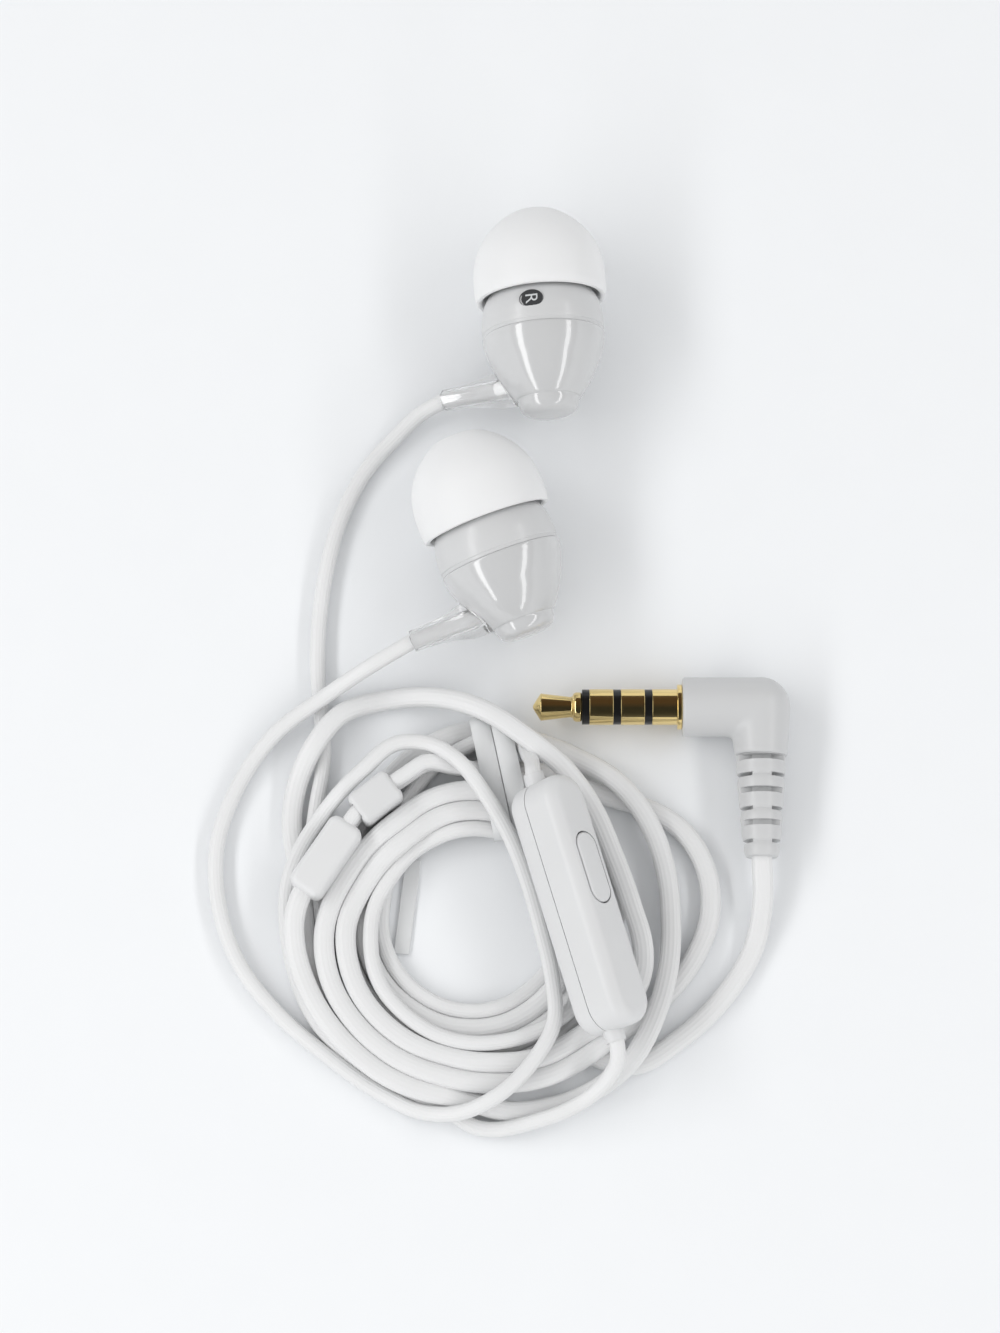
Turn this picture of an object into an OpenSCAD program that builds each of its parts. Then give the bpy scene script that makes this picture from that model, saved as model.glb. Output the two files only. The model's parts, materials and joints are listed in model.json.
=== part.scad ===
// Wired in-ear earphones: two buds, an in-line remote, a Y with its slider,
// a four-contact angled plug and the coiled cord. Millimetres, +Z up.

/* [Earbuds] */
// Largest diameter of a bud's housing, at the seam
bud_d = 12; // [11.8:0.1:12.2]
// Length of the rear cup, from the seam to its end face
cup_len = 8.1; // [8:0.1:8.3]
// Outside diameter of the sound nozzle's lip
nozzle_d = 5.5; // [5.3:0.1:5.6]
// Largest diameter of the silicone ear tip
tip_d = 13; // [12.8:0.1:13.4]
// Running gap between the ear tip's sleeve and the nozzle's lip
tip_gap = 0.05; // [0.03:0.01:0.1]
// How far the right bud points down at its nozzle, in degrees
right_tilt = 1; // [0:1:3]
// How far the left bud points up at its nozzle, in degrees
left_tilt = 5; // [4:1:6]

/* [Remote] */
// Length of the remote
remote_len = 25; // [24.6:0.1:25.4]
// Width of the remote's button face
remote_w = 5.4; // [5.2:0.1:5.6]
// Depth of the remote, from its button face to its back
remote_t = 6.1; // [6:0.1:6.3]
// Length of the play button
button_len = 7; // [6.6:0.1:7.2]
// Width of the play button
button_w = 2.7; // [2.5:0.1:2.8]

/* [Plug] */
// Diameter of the plug's contact pin
pin_d = 3.5; // [3.4:0.1:3.6]
// Length of the contact pin, from its point to the shoulder
pin_len = 14; // [13.9:0.1:14.2]
// Diameter of the plug housing's arm around the pin
plug_arm_d = 5.8; // [5.6:0.1:6]
// Length of the ribbed boot
boot_len = 9.9; // [9.6:0.1:10.2]

/* [Cord] */
// Diameter of the cord
cord_d = 1.5; // [1.4:0.05:1.5]
// Outside radius of the coil
coil_r = 17.8; // [17.7:0.1:17.9]
// Radius of the hole through the coil
hole_r = 8.4; // [8.2:0.1:8.6]
// Height of the coil
coil_h = 3.2; // [3.1:0.1:3.2]

/* [Hidden] */
$fn = 48;
eps = 0.01;
cord_r = cord_d / 2;

// ---- Buds: local Z runs from the seam towards the nozzle, local Y towards the cord ----
wall = 0.8;
bud_r = bud_d / 2;
step_in = 0.08;
nozzle_r = nozzle_d / 2;
neck_r = nozzle_r - 0.25;
sound_r = 1.75;
nozzle_end = 10.2;
shoulder_z = 5.1;
rim_z = 3.8;
tip_end = 12.75;
relief_z = -4.6;
relief_r = 1.4;
relief_end_r = 1.1;
relief_in = 2.2;
relief_out = 10.8;
tip_r = tip_d / 2;

// Each bud: seam centre in plan, heading of the nozzle, tilt, droop of its strain relief
RIGHT_BUD = [3.3, 9.2, 94, right_tilt, 22];
LEFT_BUD = [-0.95, -13, 110.5, -left_tilt, 4];

// Outer profile of the ear tip, rim to end
tip_outer = [
  [tip_r - 0.12, rim_z], [tip_r, rim_z + 0.5], [tip_r, rim_z + 2.4],
  [tip_r - 0.15, rim_z + 3.7], [tip_r - 0.5, rim_z + 4.9], [tip_r - 1.05, rim_z + 6],
  [tip_r - 1.8, rim_z + 7], [tip_r - 2.7, rim_z + 7.85], [tip_r - 3.7, rim_z + 8.5],
  [tip_r - 4.6, tip_end]
];

// Outer profile of the rear cup, seam to end
cup_outer = [
  [bud_r, 0], [bud_r, -0.5], [bud_r - 0.12, -1.2], [bud_r - 0.45, -2.3],
  [bud_r - 0.9, -3.3], [bud_r - 1.5, -4.5], [bud_r - 2.15, -5.5], [bud_r - 2.9, -6.35],
  [bud_r - 3.2, -cup_len + 1.55], [bud_r - 3.4, -cup_len + 1.15],
  [bud_r - 4.1, -cup_len + 0.45], [bud_r - 5, -cup_len + 0.1], [0, -cup_len]
];

// Height of the seam's centre at which a tilted bud just rests at z = 0
function rest_height(tilt) =
  max([for (p = concat(tip_outer, cup_outer)) p[0] * cos(tilt) + p[1] * sin(tilt)]);

// Turns a bud's local vector into the assembly's directions
function bud_turn(b, v) =
  let (
    lx = v[0] * cos(b[4]) + v[1] * sin(b[4]),
    ly = v[1] * cos(b[4]) - v[0] * sin(b[4]),
    a = 90 + b[3],
    x2 = lx * cos(a) + v[2] * sin(a),
    z2 = -lx * sin(a) + v[2] * cos(a)
  )
  [x2 * cos(b[2]) - ly * sin(b[2]), x2 * sin(b[2]) + ly * cos(b[2]), z2];

function bud_point(b, v) = [b[0], b[1], rest_height(b[3])] + bud_turn(b, v);

// Lays a bud on the surface at its place
module lay(b) {
  translate([b[0], b[1], rest_height(b[3])])
    rotate([0, 0, b[2]])
      rotate([0, 90 + b[3], 0])
        rotate([0, 0, -b[4]])
          children();
}

module ear_tip() {
  inner_r = nozzle_r + tip_gap;
  color("white")
    rotate_extrude()
      polygon(concat(
        tip_outer,
        [
          [sound_r, tip_end], [sound_r, nozzle_end + 0.2], [inner_r, nozzle_end + 0.2],
          [inner_r, shoulder_z + 0.2], [inner_r + 0.8, shoulder_z + 0.2],
          [inner_r + 0.8, rim_z + 5.6], [tip_r - 2.2, rim_z + 5.7],
          [tip_r - 1.4, rim_z + 4.8], [tip_r - 0.9, rim_z + 3.4], [tip_r - 0.7, rim_z + 1.6],
          [tip_r - 0.6, rim_z]
        ]
      ));
}

front_outer = [
  [bud_r - step_in, 0.02], [bud_r - step_in, 0.4], [bud_r - 0.02, 0.7], [bud_r - 0.05, 1.8],
  [bud_r - 0.22, 2.8], [bud_r - 0.5, 3.6], [bud_r - 1.0, 4.3], [bud_r - 1.7, 4.8],
  [bud_r - 2.6, shoulder_z]
];

module front_housing(mark_turn) {
  color("white")
    difference() {
      rotate_extrude()
        polygon(concat(
          front_outer,
          [
            [neck_r, shoulder_z], [neck_r, 8.3], [nozzle_r, 8.7], [nozzle_r, 9.3],
            [neck_r, nozzle_end], [sound_r, nozzle_end], [sound_r, shoulder_z - 0.9],
            [bud_r - 2.2, shoulder_z - 1.1], [bud_r - 1.2, 3.2], [bud_r - 1, 2.2],
            [bud_r - 1, 0.02]
          ]
        ));
      mark_pad(mark_turn, 1, mark_r + 0.06);
    }
}

module rear_cup() {
  color("gainsboro")
    difference() {
      rotate_extrude()
        polygon(cup_outer);
      rotate_extrude()
        polygon([
          [0, 0.1], [bud_r - 1, 0.1], [bud_r - 1, -1.2], [bud_r - 1.7, -3.2],
          [bud_r - 2.9, -5.2], [bud_r - 3.6, -6.3], [0, -cup_len + wall]
        ]);
      translate([0, 0, relief_z])
        rotate([-90, 0, 0])
          cylinder(h = bud_r, r = relief_r);
    }
}

// The screen sits inside the nozzle's end
module nozzle_screen() {
  color("silver")
    translate([0, 0, nozzle_end - 0.5])
      cylinder(h = 0.15, r = sound_r);
}

driver_r = 4.9;
module driver_frame() {
  color("dimgray")
    rotate_extrude()
      polygon([
        [3.65, -0.3], [driver_r, -0.3], [driver_r, 2.4], [driver_r - 0.5, 2.4],
        [driver_r - 0.5, 0.5], [3.65, 0.5]
      ]);
}

module yoke() {
  color("silver")
    rotate_extrude()
      polygon([[0, -1.6], [3.6, -1.6], [3.6, 1], [3.15, 1], [3.15, -1.1], [0, -1.1]]);
}

module magnet() {
  color("dimgray")
    translate([0, 0, -1.1])
      cylinder(h = 1.6, r = 2.4);
}

module pole_plate() {
  color("silver")
    translate([0, 0, 0.5])
      cylinder(h = 0.5, r = 2.5);
}

module voice_coil() {
  color("chocolate")
    rotate_extrude()
      translate([2.72, 0.2])
        square([0.22, 1.6]);
}

module diaphragm() {
  color("lightgray")
    rotate_extrude()
      polygon([
        [0, 2.3], [1.6, 2.15], [2.7, 1.8], [2.95, 1.8], [3.6, 2.05], [4.35, 1.95],
        [4.35, 2.1], [3.6, 2.2], [2.85, 1.95], [1.6, 2.3], [0, 2.45]
      ]);
}

module terminal_board() {
  color("darkgreen")
    translate([0, 0, -2])
      intersection() {
        cylinder(h = 0.4, r = 3.2);
        translate([-4, -1.2, 0])
          cube([8, 5, 0.4]);
      }
}

mark_r = 1.2;
mark_z = 2.2;
// The right bud's mark faces up, the left bud's faces the surface
right_mark_turn = 11;
left_mark_turn = 188;

// Round pad let into the housing's side, turn degrees about the bud's axis
module mark_pad(turn, height, radius) {
  rotate([0, 0, turn])
    translate([0, 0, mark_z])
      rotate([0, -90, 0])
        translate([0, 0, bud_r - 0.6])
          cylinder(h = height, r = radius);
}

module side_mark(turn) {
  color("dimgray")
    mark_pad(turn, 0.5, mark_r);
}

// Clear sleeve around the cord where it leaves the cup
module strain_relief() {
  color("white", 0.5)
    translate([0, 0, relief_z])
      rotate([-90, 0, 0])
        difference() {
          union() {
            translate([0, 0, relief_in])
              cylinder(h = 1.4, r = relief_r);
            translate([0, 0, relief_in + 1.4])
              cylinder(h = relief_out - relief_in - 1.4, r1 = relief_r, r2 = relief_end_r);
          }
          translate([0, 0, -1])
            cylinder(h = relief_out + 2, r = cord_r + 0.02);
        }
}

// The cord's inner end, drawn into a knot so that it can't pull out
module cord_knot() {
  color("white")
    translate([0, 0, relief_z])
      rotate([-90, 0, 0]) {
        translate([0, 0, -0.6])
          rotate_extrude()
            polygon([[0, 0], [0.6, 0], [0.85, 0.4], [0.85, 1.5], [0.6, 1.9], [0, 1.9]]);
        translate([0, 0, 1.3])
          cylinder(h = relief_out - 1.3, r = cord_r);
      }
}

// ---- Remote: local X runs along it, local Z is the button face's normal ----
REMOTE_AT = [6.55, -47.3, 7.6];
REMOTE_HEADING = -73;
REMOTE_ROLL = 48;
remote_wall = 0.8;
remote_edge = 1.2;
seam_drop = 0.6;
button_x = -2.8;
button_travel = 0.3;
mic_x = 7;

module place_remote() {
  translate(REMOTE_AT)
    rotate([0, 0, REMOTE_HEADING])
      rotate([-REMOTE_ROLL, 0, 0])
        children();
}

// Where a point on the remote's own line between its shells lies in the assembly
function remote_point(x) =
  let (
    side = -seam_drop * sin(REMOTE_ROLL),
    rise = -seam_drop * cos(REMOTE_ROLL)
  )
  REMOTE_AT + [
    x * cos(REMOTE_HEADING) - side * sin(REMOTE_HEADING),
    x * sin(REMOTE_HEADING) + side * cos(REMOTE_HEADING),
    rise
  ];

// One half of the rounded bar: its open side lies at z = 0, its face at z = depth.
// grow moves every wall outwards, and sink carries the open side below z = 0.
module bar_half(depth, grow, sink) {
  edge = remote_edge + grow;
  turn = 1.1;
  hull()
    for (sx = [-1, 1], sy = [-1, 1], a = [0, 45, 90])
      translate([
        sx * (remote_len / 2 - remote_edge - turn + turn * cos(a)),
        sy * (remote_w / 2 - remote_edge - turn + turn * sin(a)),
        0
      ]) {
        translate([0, 0, depth - remote_edge])
          sphere(r = edge, $fn = 20);
        translate([0, 0, -sink])
          cylinder(r = edge, h = 0.2, $fn = 20);
      }
}

module oval(length, width, height) {
  linear_extrude(height = height)
    union() {
      square([length - width, width], center = true);
      for (s = [-1, 1])
        translate([s * (length - width) / 2, 0])
          circle(d = width);
    }
}

// A hollow half of the remote, with the cord's way in at each end
module remote_half(depth) {
  difference() {
    bar_half(depth, 0, 0);
    bar_half(depth, -remote_wall, 0.5);
    rotate([0, 90, 0])
      translate([0, 0, -remote_len])
        cylinder(h = 2 * remote_len, r = grommet_r);
  }
}

grommet_r = 1.15;
module remote_front_shell() {
  color("whitesmoke")
    place_remote()
      translate([0, 0, -seam_drop])
        difference() {
          remote_half(remote_t / 2 + seam_drop);
          translate([button_x, 0, 1])
            oval(button_len + 0.3, button_w + 0.3, remote_t);
        }
}

module remote_back_shell() {
  color("whitesmoke")
    place_remote()
      translate([0, 0, -seam_drop])
        rotate([180, 0, 0])
          difference() {
            remote_half(remote_t / 2 - seam_drop);
            translate([mic_x, 0, 1])
              cylinder(h = remote_t, r = 0.4);
          }
}

module play_button() {
  flange_top = remote_t / 2 - remote_wall - 0.05;
  color("gainsboro")
    place_remote()
      translate([button_x, 0, 0]) {
        translate([0, 0, flange_top - 0.4])
          oval(button_len, button_w, remote_t / 2 + 0.12 - flange_top + 0.4);
        translate([0, 0, flange_top - 0.4])
          oval(button_len + 0.8, button_w + 0.5, 0.4);
        translate([0, 0, flange_top - 0.8])
          cylinder(h = 0.5, r = 0.8);
      }
}

board_top = 0.7;
module dome_switch() {
  color("silver")
    place_remote()
      translate([button_x, 0, board_top])
        union() {
          cylinder(h = 0.1, r = 1.4);
          translate([0, 0, 0.1])
            cylinder(h = 0.2, r1 = 1.2, r2 = 0.5);
        }
}

module remote_board() {
  color("darkgreen")
    place_remote()
      translate([-9, -1.8, board_top - 0.6])
        cube([18, 3.6, 0.6]);
}

module microphone() {
  color("silver")
    place_remote()
      translate([mic_x, 0, board_top - 1.9])
        cylinder(h = 1.3, r = 1.5);
}

// One soft sleeve at each end of the remote, around the cord
module remote_grommets() {
  color("whitesmoke")
    place_remote()
      for (s = [-1, 1])
        translate([s * (remote_len / 2 - 1.2), 0, -seam_drop])
          rotate([0, s * 90, 0])
            difference() {
              cylinder(h = 2.2, r1 = grommet_r, r2 = 0.95);
              translate([0, 0, -1])
                cylinder(h = 4, r = cord_r);
            }
}

// ---- Plug: local X runs from the shoulder to the pin's point ----
PLUG_AT = [16.2, -27.1, 2.9];
pin_r = pin_d / 2;
sleeve_len = 2.4;
ring_len = 2.3;
gap_len = 0.75;
core_r = 0.5;
ring_2_u = sleeve_len + gap_len;
ring_1_u = ring_2_u + ring_len + gap_len;
tip_u = ring_1_u + ring_len + gap_len;
flange_t = 0.5;
flange_d = 4.4;
elbow_x = 8.1;
drop_d = 5.2;
drop_len = 4.9;

module place_plug() {
  translate(PLUG_AT)
    rotate([0, 0, 180])
      rotate([0, 90, 0])
        children();
}

module plug_tip() {
  color("gold")
    place_plug() {
      translate([0, 0, tip_u])
        rotate_extrude()
          polygon([
            [0, 0], [1.35, 0], [1.42, 0.15], [1.42, 0.45], [1.0, 0.95],
            [1.32, pin_len - tip_u - 1.15], [1.32, pin_len - tip_u - 1],
            [0.35, pin_len - tip_u - 0.05], [0, pin_len - tip_u]
          ]);
      translate([0, 0, -3])
        cylinder(h = tip_u + 3, r = core_r);
    }
}

module contact_ring(u, length) {
  color("gold")
    place_plug()
      translate([0, 0, u])
        difference() {
          cylinder(h = length, r = pin_r);
          translate([0, 0, -1])
            cylinder(h = length + 2, r = pin_r - 0.45);
        }
}

module plug_ring_1() { contact_ring(ring_1_u, ring_len); }
module plug_ring_2() { contact_ring(ring_2_u, ring_len); }

module plug_sleeve() {
  color("gold")
    place_plug()
      difference() {
        union() {
          cylinder(h = sleeve_len, r = pin_r);
          translate([0, 0, -flange_t])
            cylinder(h = flange_t, d = flange_d);
          translate([0, 0, -flange_t - 1.8])
            cylinder(h = 1.8, r = pin_r - 0.2);
        }
        translate([0, 0, -flange_t - 3])
          cylinder(h = sleeve_len + flange_t + 4, r = pin_r - 0.45);
      }
}

// Black plastic between the contacts, carried on one inner tube
module plug_insulators() {
  color("black")
    place_plug()
      difference() {
        union() {
          translate([0, 0, -flange_t - 1.8])
            cylinder(h = tip_u + flange_t + 1.8, r = pin_r - 0.45);
          for (u = [sleeve_len, ring_2_u + ring_len, ring_1_u + ring_len])
            translate([0, 0, u])
              cylinder(h = gap_len, r = pin_r);
        }
        translate([0, 0, -5])
          cylinder(h = tip_u + 6, r = core_r);
      }
}

// Four solder tags behind the insulator, one for each contact
module plug_solder_tags() {
  color("goldenrod")
    translate(PLUG_AT)
      for (k = [0:3])
        translate([flange_t + 1.8, -1.35 + 0.7 * k, -1.2])
          cube([1.6, 0.4, 0.5]);
}

module plug_housing() {
  color("whitesmoke")
    translate(PLUG_AT)
      difference() {
        union() {
          translate([flange_t, 0, 0])
            rotate([0, 90, 0])
              cylinder(h = elbow_x - flange_t, d = plug_arm_d);
          translate([elbow_x, 0, 0])
            sphere(d = plug_arm_d);
          translate([elbow_x, 0, 0])
            rotate([90, 0, 0])
              cylinder(h = drop_len, d1 = plug_arm_d, d2 = drop_d);
        }
        // Room for the contacts' rear end and the wires
        translate([flange_t - 1, 0, 0])
          rotate([0, 90, 0])
            cylinder(h = 2.8, r = pin_r - 0.2);
        translate([flange_t + 1.8 - eps, 0, 0])
          rotate([0, 90, 0])
            cylinder(h = elbow_x - flange_t - 1.8, r = 1.9);
        translate([elbow_x, 1.2, 0])
          rotate([90, 0, 0])
            cylinder(h = 12, r = cord_r + 0.6);
      }
}

boot_core_r = 1.15;
module plug_boot() {
  slots = 3;
  pitch = 3.2;
  color("whitesmoke")
    translate(PLUG_AT + [elbow_x, -drop_len, 0])
      rotate([90, 0, 0])
        difference() {
          cylinder(h = boot_len, r1 = 2.35, r2 = 1.6);
          translate([0, 0, -1])
            cylinder(h = boot_len + 2, r = cord_r);
          for (k = [0:slots - 1]) {
            // Slots open to the two sides
            for (s = [-1, 1])
              translate([s * 2.95 - 2, -3, 1.8 + pitch * k])
                cube([4, 6, 0.35]);
            // Slots open above and below
            for (s = [-1, 1])
              translate([-3, s * 3.2 - 2, 0.25 + pitch * k])
                cube([6, 4, 0.5]);
          }
        }
}

// ---- Y and slider, both on the top layer of the coil ----
Y_AT = [-17.75, -42.1, 3.45];
Y_HEADING = 56;
y_len = 8;
y_w = 3.6;
y_h = 3.6;
pair_z = 0.75;

// Rounded block, open at z = 0: the upper or lower half of the Y
module y_half_form() {
  edge = 0.5;
  hull()
    for (sx = [-1, 1], sy = [-1, 1])
      translate([sx * (y_len / 2 - edge), sy * (y_w / 2 - edge), 0]) {
        translate([0, 0, y_h / 2 - edge])
          sphere(r = edge, $fn = 16);
        cylinder(r = edge, h = 0.2, $fn = 16);
      }
}

// One half of the Y, with room for the branches on one side and the main cord on the other
module y_half(turn) {
  translate(Y_AT)
    rotate([turn, 0, Y_HEADING])
      difference() {
        y_half_form();
        translate([0.5, -cord_r, -1])
          cube([y_len, cord_d, 1 + pair_z + cord_r]);
        translate([-y_len, -cord_r - 0.3, -1])
          cube([y_len + 0.5 + eps, cord_d + 0.6, 1 + cord_r]);
      }
}

module y_upper_shell() { color("whitesmoke") y_half(0); }
module y_lower_shell() { color("whitesmoke") y_half(180); }

SLIDER_AT = [-13, -36.3, 3.45];
SLIDER_HEADING = 38;
slider_len = 4.6;
slider_w = 3.4;
slider_travel = 3;
slot_gap = 0.06;

module slider_form() {
  edge = 0.5;
  hull()
    for (sx = [-1, 1], sy = [-1, 1], sz = [-1, 1])
      translate([
        sx * (slider_len / 2 - edge),
        sy * (slider_w / 2 - edge),
        sz * (y_h / 2 - edge)
      ])
        sphere(r = edge, $fn = 16);
}

module cord_slider() {
  gap = 2 * slot_gap;
  color("whitesmoke")
    translate(SLIDER_AT)
      rotate([0, 0, SLIDER_HEADING])
        difference() {
          slider_form();
          translate([-slider_len, -(cord_d + gap) / 2, -pair_z - cord_r - slot_gap])
            cube([2 * slider_len, cord_d + gap, 2 * (pair_z + cord_r) + gap]);
        }
}

// ---- Cord ----
COIL_AT = [-3.8, -47.8, 0];
TIE_AT = [-0.9, -33.8, 0];
TIE_HEADING = 102;
tie_t = 0.35;
tie_w = 1.9;
tie_len = 12;
tie_top = coil_h + 0.05 + tie_t;

module cord_coil() {
  shoulder = 0.9;
  color("white")
    difference() {
      translate(COIL_AT)
        rotate_extrude()
          polygon([
            [hole_r, 0], [coil_r, 0], [coil_r, coil_h - shoulder],
            [coil_r - shoulder, coil_h], [hole_r + shoulder, coil_h],
            [hole_r, coil_h - shoulder]
          ]);
      // Pockets for the Y, the slider with its travel, and the tie's underside
      translate([Y_AT[0], Y_AT[1], 1.55])
        rotate([0, 0, Y_HEADING])
          translate([-y_len / 2 - 0.1, -y_w / 2 - 0.1, 0])
            cube([y_len + 0.2, y_w + 0.2, coil_h]);
      translate([SLIDER_AT[0], SLIDER_AT[1], 1.3])
        rotate([0, 0, SLIDER_HEADING])
          translate([-slider_len / 2 - 0.7, -2.1, 0])
            cube([slider_len + slider_travel + 1.1, 4.2, coil_h]);
      translate([TIE_AT[0], TIE_AT[1], -1])
        rotate([0, 0, TIE_HEADING])
          translate([-tie_len / 2 - 0.5, -2.1, 0])
            cube([tie_len + 1, 4.2, 1 + tie_t + 0.1]);
    }
}

// Two side-by-side turns of a flat tie around the bundle, and its free end in the hole
module cord_tie() {
  color("white") {
    translate(TIE_AT)
      rotate([0, 0, TIE_HEADING])
        for (s = [-1, 1])
          translate([-tie_len / 2, s * (tie_w / 2 + 0.05) - tie_w / 2, 0])
            difference() {
              cube([tie_len, tie_w, tie_top]);
              translate([tie_t, -1, tie_t])
                cube([tie_len - 2 * tie_t, tie_w + 2, tie_top - 2 * tie_t]);
            }
    translate([-9.4, -41.6, 0])
      rotate([0, 0, -97])
        translate([0, -0.75, 0])
          cube([9.4, 1.5, tie_t]);
  }
}

function unit(v) = v / norm(v);

// Eight-sided tube of the cord's diameter along a route
module tube(route) {
  n = len(route);
  sides = 8;
  heading = [for (i = [0:n - 1])
    unit(route[min(i + 1, n - 1)] - route[max(i - 1, 0)])];
  across = [for (h = heading) unit(cross(h, [0, 0, 1]))];
  rise = [for (i = [0:n - 1]) cross(across[i], heading[i])];
  points = [for (i = [0:n - 1], k = [0:sides - 1])
    route[i] + cord_r * (cos(45 * k + 22.5) * across[i] + sin(45 * k + 22.5) * rise[i])];
  skin = [for (i = [0:n - 2], k = [0:sides - 1])
    [i * sides + k, i * sides + (k + 1) % sides,
     (i + 1) * sides + (k + 1) % sides, (i + 1) * sides + k]];
  start = [[for (k = [0:sides - 1]) sides - 1 - k]];
  end = [[for (k = [0:sides - 1]) (n - 1) * sides + k]];
  color("white")
    polyhedron(points = points, faces = concat(skin, start, end), convexity = 6);
}

right_route = concat([bud_point(RIGHT_BUD, [0, relief_out, relief_z])], [
  [-8.8, 2.7, 1.75], [-11.3, 0.4, 1.1], [-14, -2.6, 0.8], [-16.6, -7.6, 0.8], [-18, -12.8, 0.8],
  [-18.7, -18, 0.8], [-18.8, -23.2, 0.8], [-18.4, -27.8, 0.8], [-18.2, -32.2, 0.8],
  [-18.8, -36.2, 0.8], [-19.2, -39.4, 0.8]
]);
left_route = concat([bud_point(LEFT_BUD, [0, relief_out, relief_z])], [
  [-13, -23, 4.4], [-18.2, -26.1, 2.5], [-23.2, -29.8, 1.4], [-26.6, -34.8, 0.8],
  [-28.4, -40.2, 0.8], [-28.2, -46.2, 0.8], [-26.1, -52.1, 0.8], [-22.2, -57, 0.8],
  [-17.6, -60.9, 0.8], [-12.6, -64.4, 0.8], [-8.4, -66.4, 1.4], [-5, -66.6, 2.6],
  [-1.4, -65.2, 4], [2, -62, 4], [4.2, -58, 4], [4, -53.8, 4], [2.9, -48.8, 3.6],
  [1.6, -44.2, 3.8], [-0.2, -39.8, 4.5], [-2.6, -35.8, 4.7], [-4.8, -33, 5],
  [-7.8, -31, 4.2], [-11, -30.9, 4], [-14.2, -33.5, 4], [-16.6, -35.8, 3.6],
  [-18.4, -38, 2.4]
]);
top_route = [
  [-20.4, -42.6, 0.8], [-21.2, -38.8, 0.8], [-20.8, -34.8, 1], [-19, -30.8, 2.4],
  [-16.6, -27.8, 2.3], [-12.4, -26.1, 0.9], [-7.6, -26, 2.2], [-2.8, -27.6, 4.4],
  [1.8, -30.6, 4.6], [5, -33.2, 4.4], [8, -37.4, 4.2], [9.9, -41.8, 4], [11.6, -46.6, 4],
  [12.8, -51.2, 3.4], [12.6, -53.6, 2.4]
];
outer_route = [
  [-8, -30.8, 2.4], [-3.4, -29.1, 1.6], [1.4, -29.8, 1], [6.2, -31.7, 1.2],
  [10.6, -34.6, 2.4], [13.2, -38, 2.4], [15, -42.8, 1.8], [15.5, -47.8, 1.7],
  [15.2, -52.6, 2.4], [14, -57, 2.4], [11.5, -61.6, 2.4], [7.6, -64.5, 1.2],
  [3, -66, 0.8], [-1, -66.2, 0.8], [-3.6, -65, 0.8]
];
far_route = [
  [8.8, -35.4, 0.8], [12.4, -36.4, 0.8], [16.6, -38.8, 0.8], [19, -42.8, 0.8],
  [19.3, -47.4, 0.8], [17.4, -52, 0.8], [14.4, -55.6, 0.8], [11.2, -58.2, 0.8],
  [9.6, -59.2, 0.8]
];
boot_end = PLUG_AT + [elbow_x, -drop_len - boot_len, 0];
plug_route = concat([boot_end], [
  [24.4, -45.8, 1.9], [23.6, -50.2, 0.8], [20.6, -55.2, 0.8], [16.4, -59.2, 0.8],
  [11.6, -61.8, 0.8], [8.6, -61, 0.8], [7.6, -60.2, 0.8]
]);
remote_exit = remote_len / 2 + 1;
top_lead_route = concat(
  [[1.3, -30.4, 2.4], [1.5, -32.1, 3.6], [1.8, -33.4, 5.8]],
  [remote_point(-remote_exit)]
);
tail_route = concat([remote_point(remote_exit)], [
  [10.2, -61.8, 6.4], [9.4, -63.4, 4.9], [7.6, -65.1, 3.5], [5, -66.5, 2.7],
  [2, -67.4, 1.9], [-1.4, -68, 1], [-4, -67.6, 0.8], [-5.6, -66, 0.8]
]);
exit_route = [[-20, -45.4, 3.45], [-20.8, -47.8, 3.2], [-20.6, -50.8, 2.4]];
pair_route = [
  [-15.5, -38.8, 0], [-14.9, -37.8, 0], [-8.8, -33, 0], [-5.8, -32.8, -0.9],
  [-3.9, -33.3, -1.8]
];

module right_lead() { tube(right_route); }
module left_lead() { tube(left_route); }
module top_loop() { tube(top_route); }
module outer_arc() { tube(outer_route); }
module far_arc() { tube(far_route); }
module plug_lead() { tube(plug_route); }
module remote_top_lead() { tube(top_lead_route); }
module remote_tail() { tube(tail_route); }
module main_exit() { tube(exit_route); }

// The two branches between the Y and the coil, one above the other
module branch_pair() {
  for (s = [-1, 1])
    tube([for (p = pair_route) p + [0, 0, Y_AT[2] + s * pair_z]]);
}

lay(RIGHT_BUD) ear_tip();  // right_ear_tip
lay(RIGHT_BUD) front_housing(right_mark_turn);  // right_front_housing
lay(RIGHT_BUD) rear_cup();  // right_rear_cup
lay(RIGHT_BUD) nozzle_screen();  // right_nozzle_screen
lay(RIGHT_BUD) driver_frame();  // right_driver_frame
lay(RIGHT_BUD) yoke();  // right_yoke
lay(RIGHT_BUD) magnet();  // right_magnet
lay(RIGHT_BUD) pole_plate();  // right_pole_plate
lay(RIGHT_BUD) voice_coil();  // right_voice_coil
lay(RIGHT_BUD) diaphragm();  // right_diaphragm
lay(RIGHT_BUD) terminal_board();  // right_terminal_board
lay(RIGHT_BUD) side_mark(right_mark_turn);  // right_side_mark
lay(RIGHT_BUD) strain_relief();  // right_strain_relief
lay(RIGHT_BUD) cord_knot();  // right_cord_knot
lay(LEFT_BUD) ear_tip();  // left_ear_tip
lay(LEFT_BUD) front_housing(left_mark_turn);  // left_front_housing
lay(LEFT_BUD) rear_cup();  // left_rear_cup
lay(LEFT_BUD) nozzle_screen();  // left_nozzle_screen
lay(LEFT_BUD) driver_frame();  // left_driver_frame
lay(LEFT_BUD) yoke();  // left_yoke
lay(LEFT_BUD) magnet();  // left_magnet
lay(LEFT_BUD) pole_plate();  // left_pole_plate
lay(LEFT_BUD) voice_coil();  // left_voice_coil
lay(LEFT_BUD) diaphragm();  // left_diaphragm
lay(LEFT_BUD) terminal_board();  // left_terminal_board
lay(LEFT_BUD) side_mark(left_mark_turn);  // left_side_mark
lay(LEFT_BUD) strain_relief();  // left_strain_relief
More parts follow.
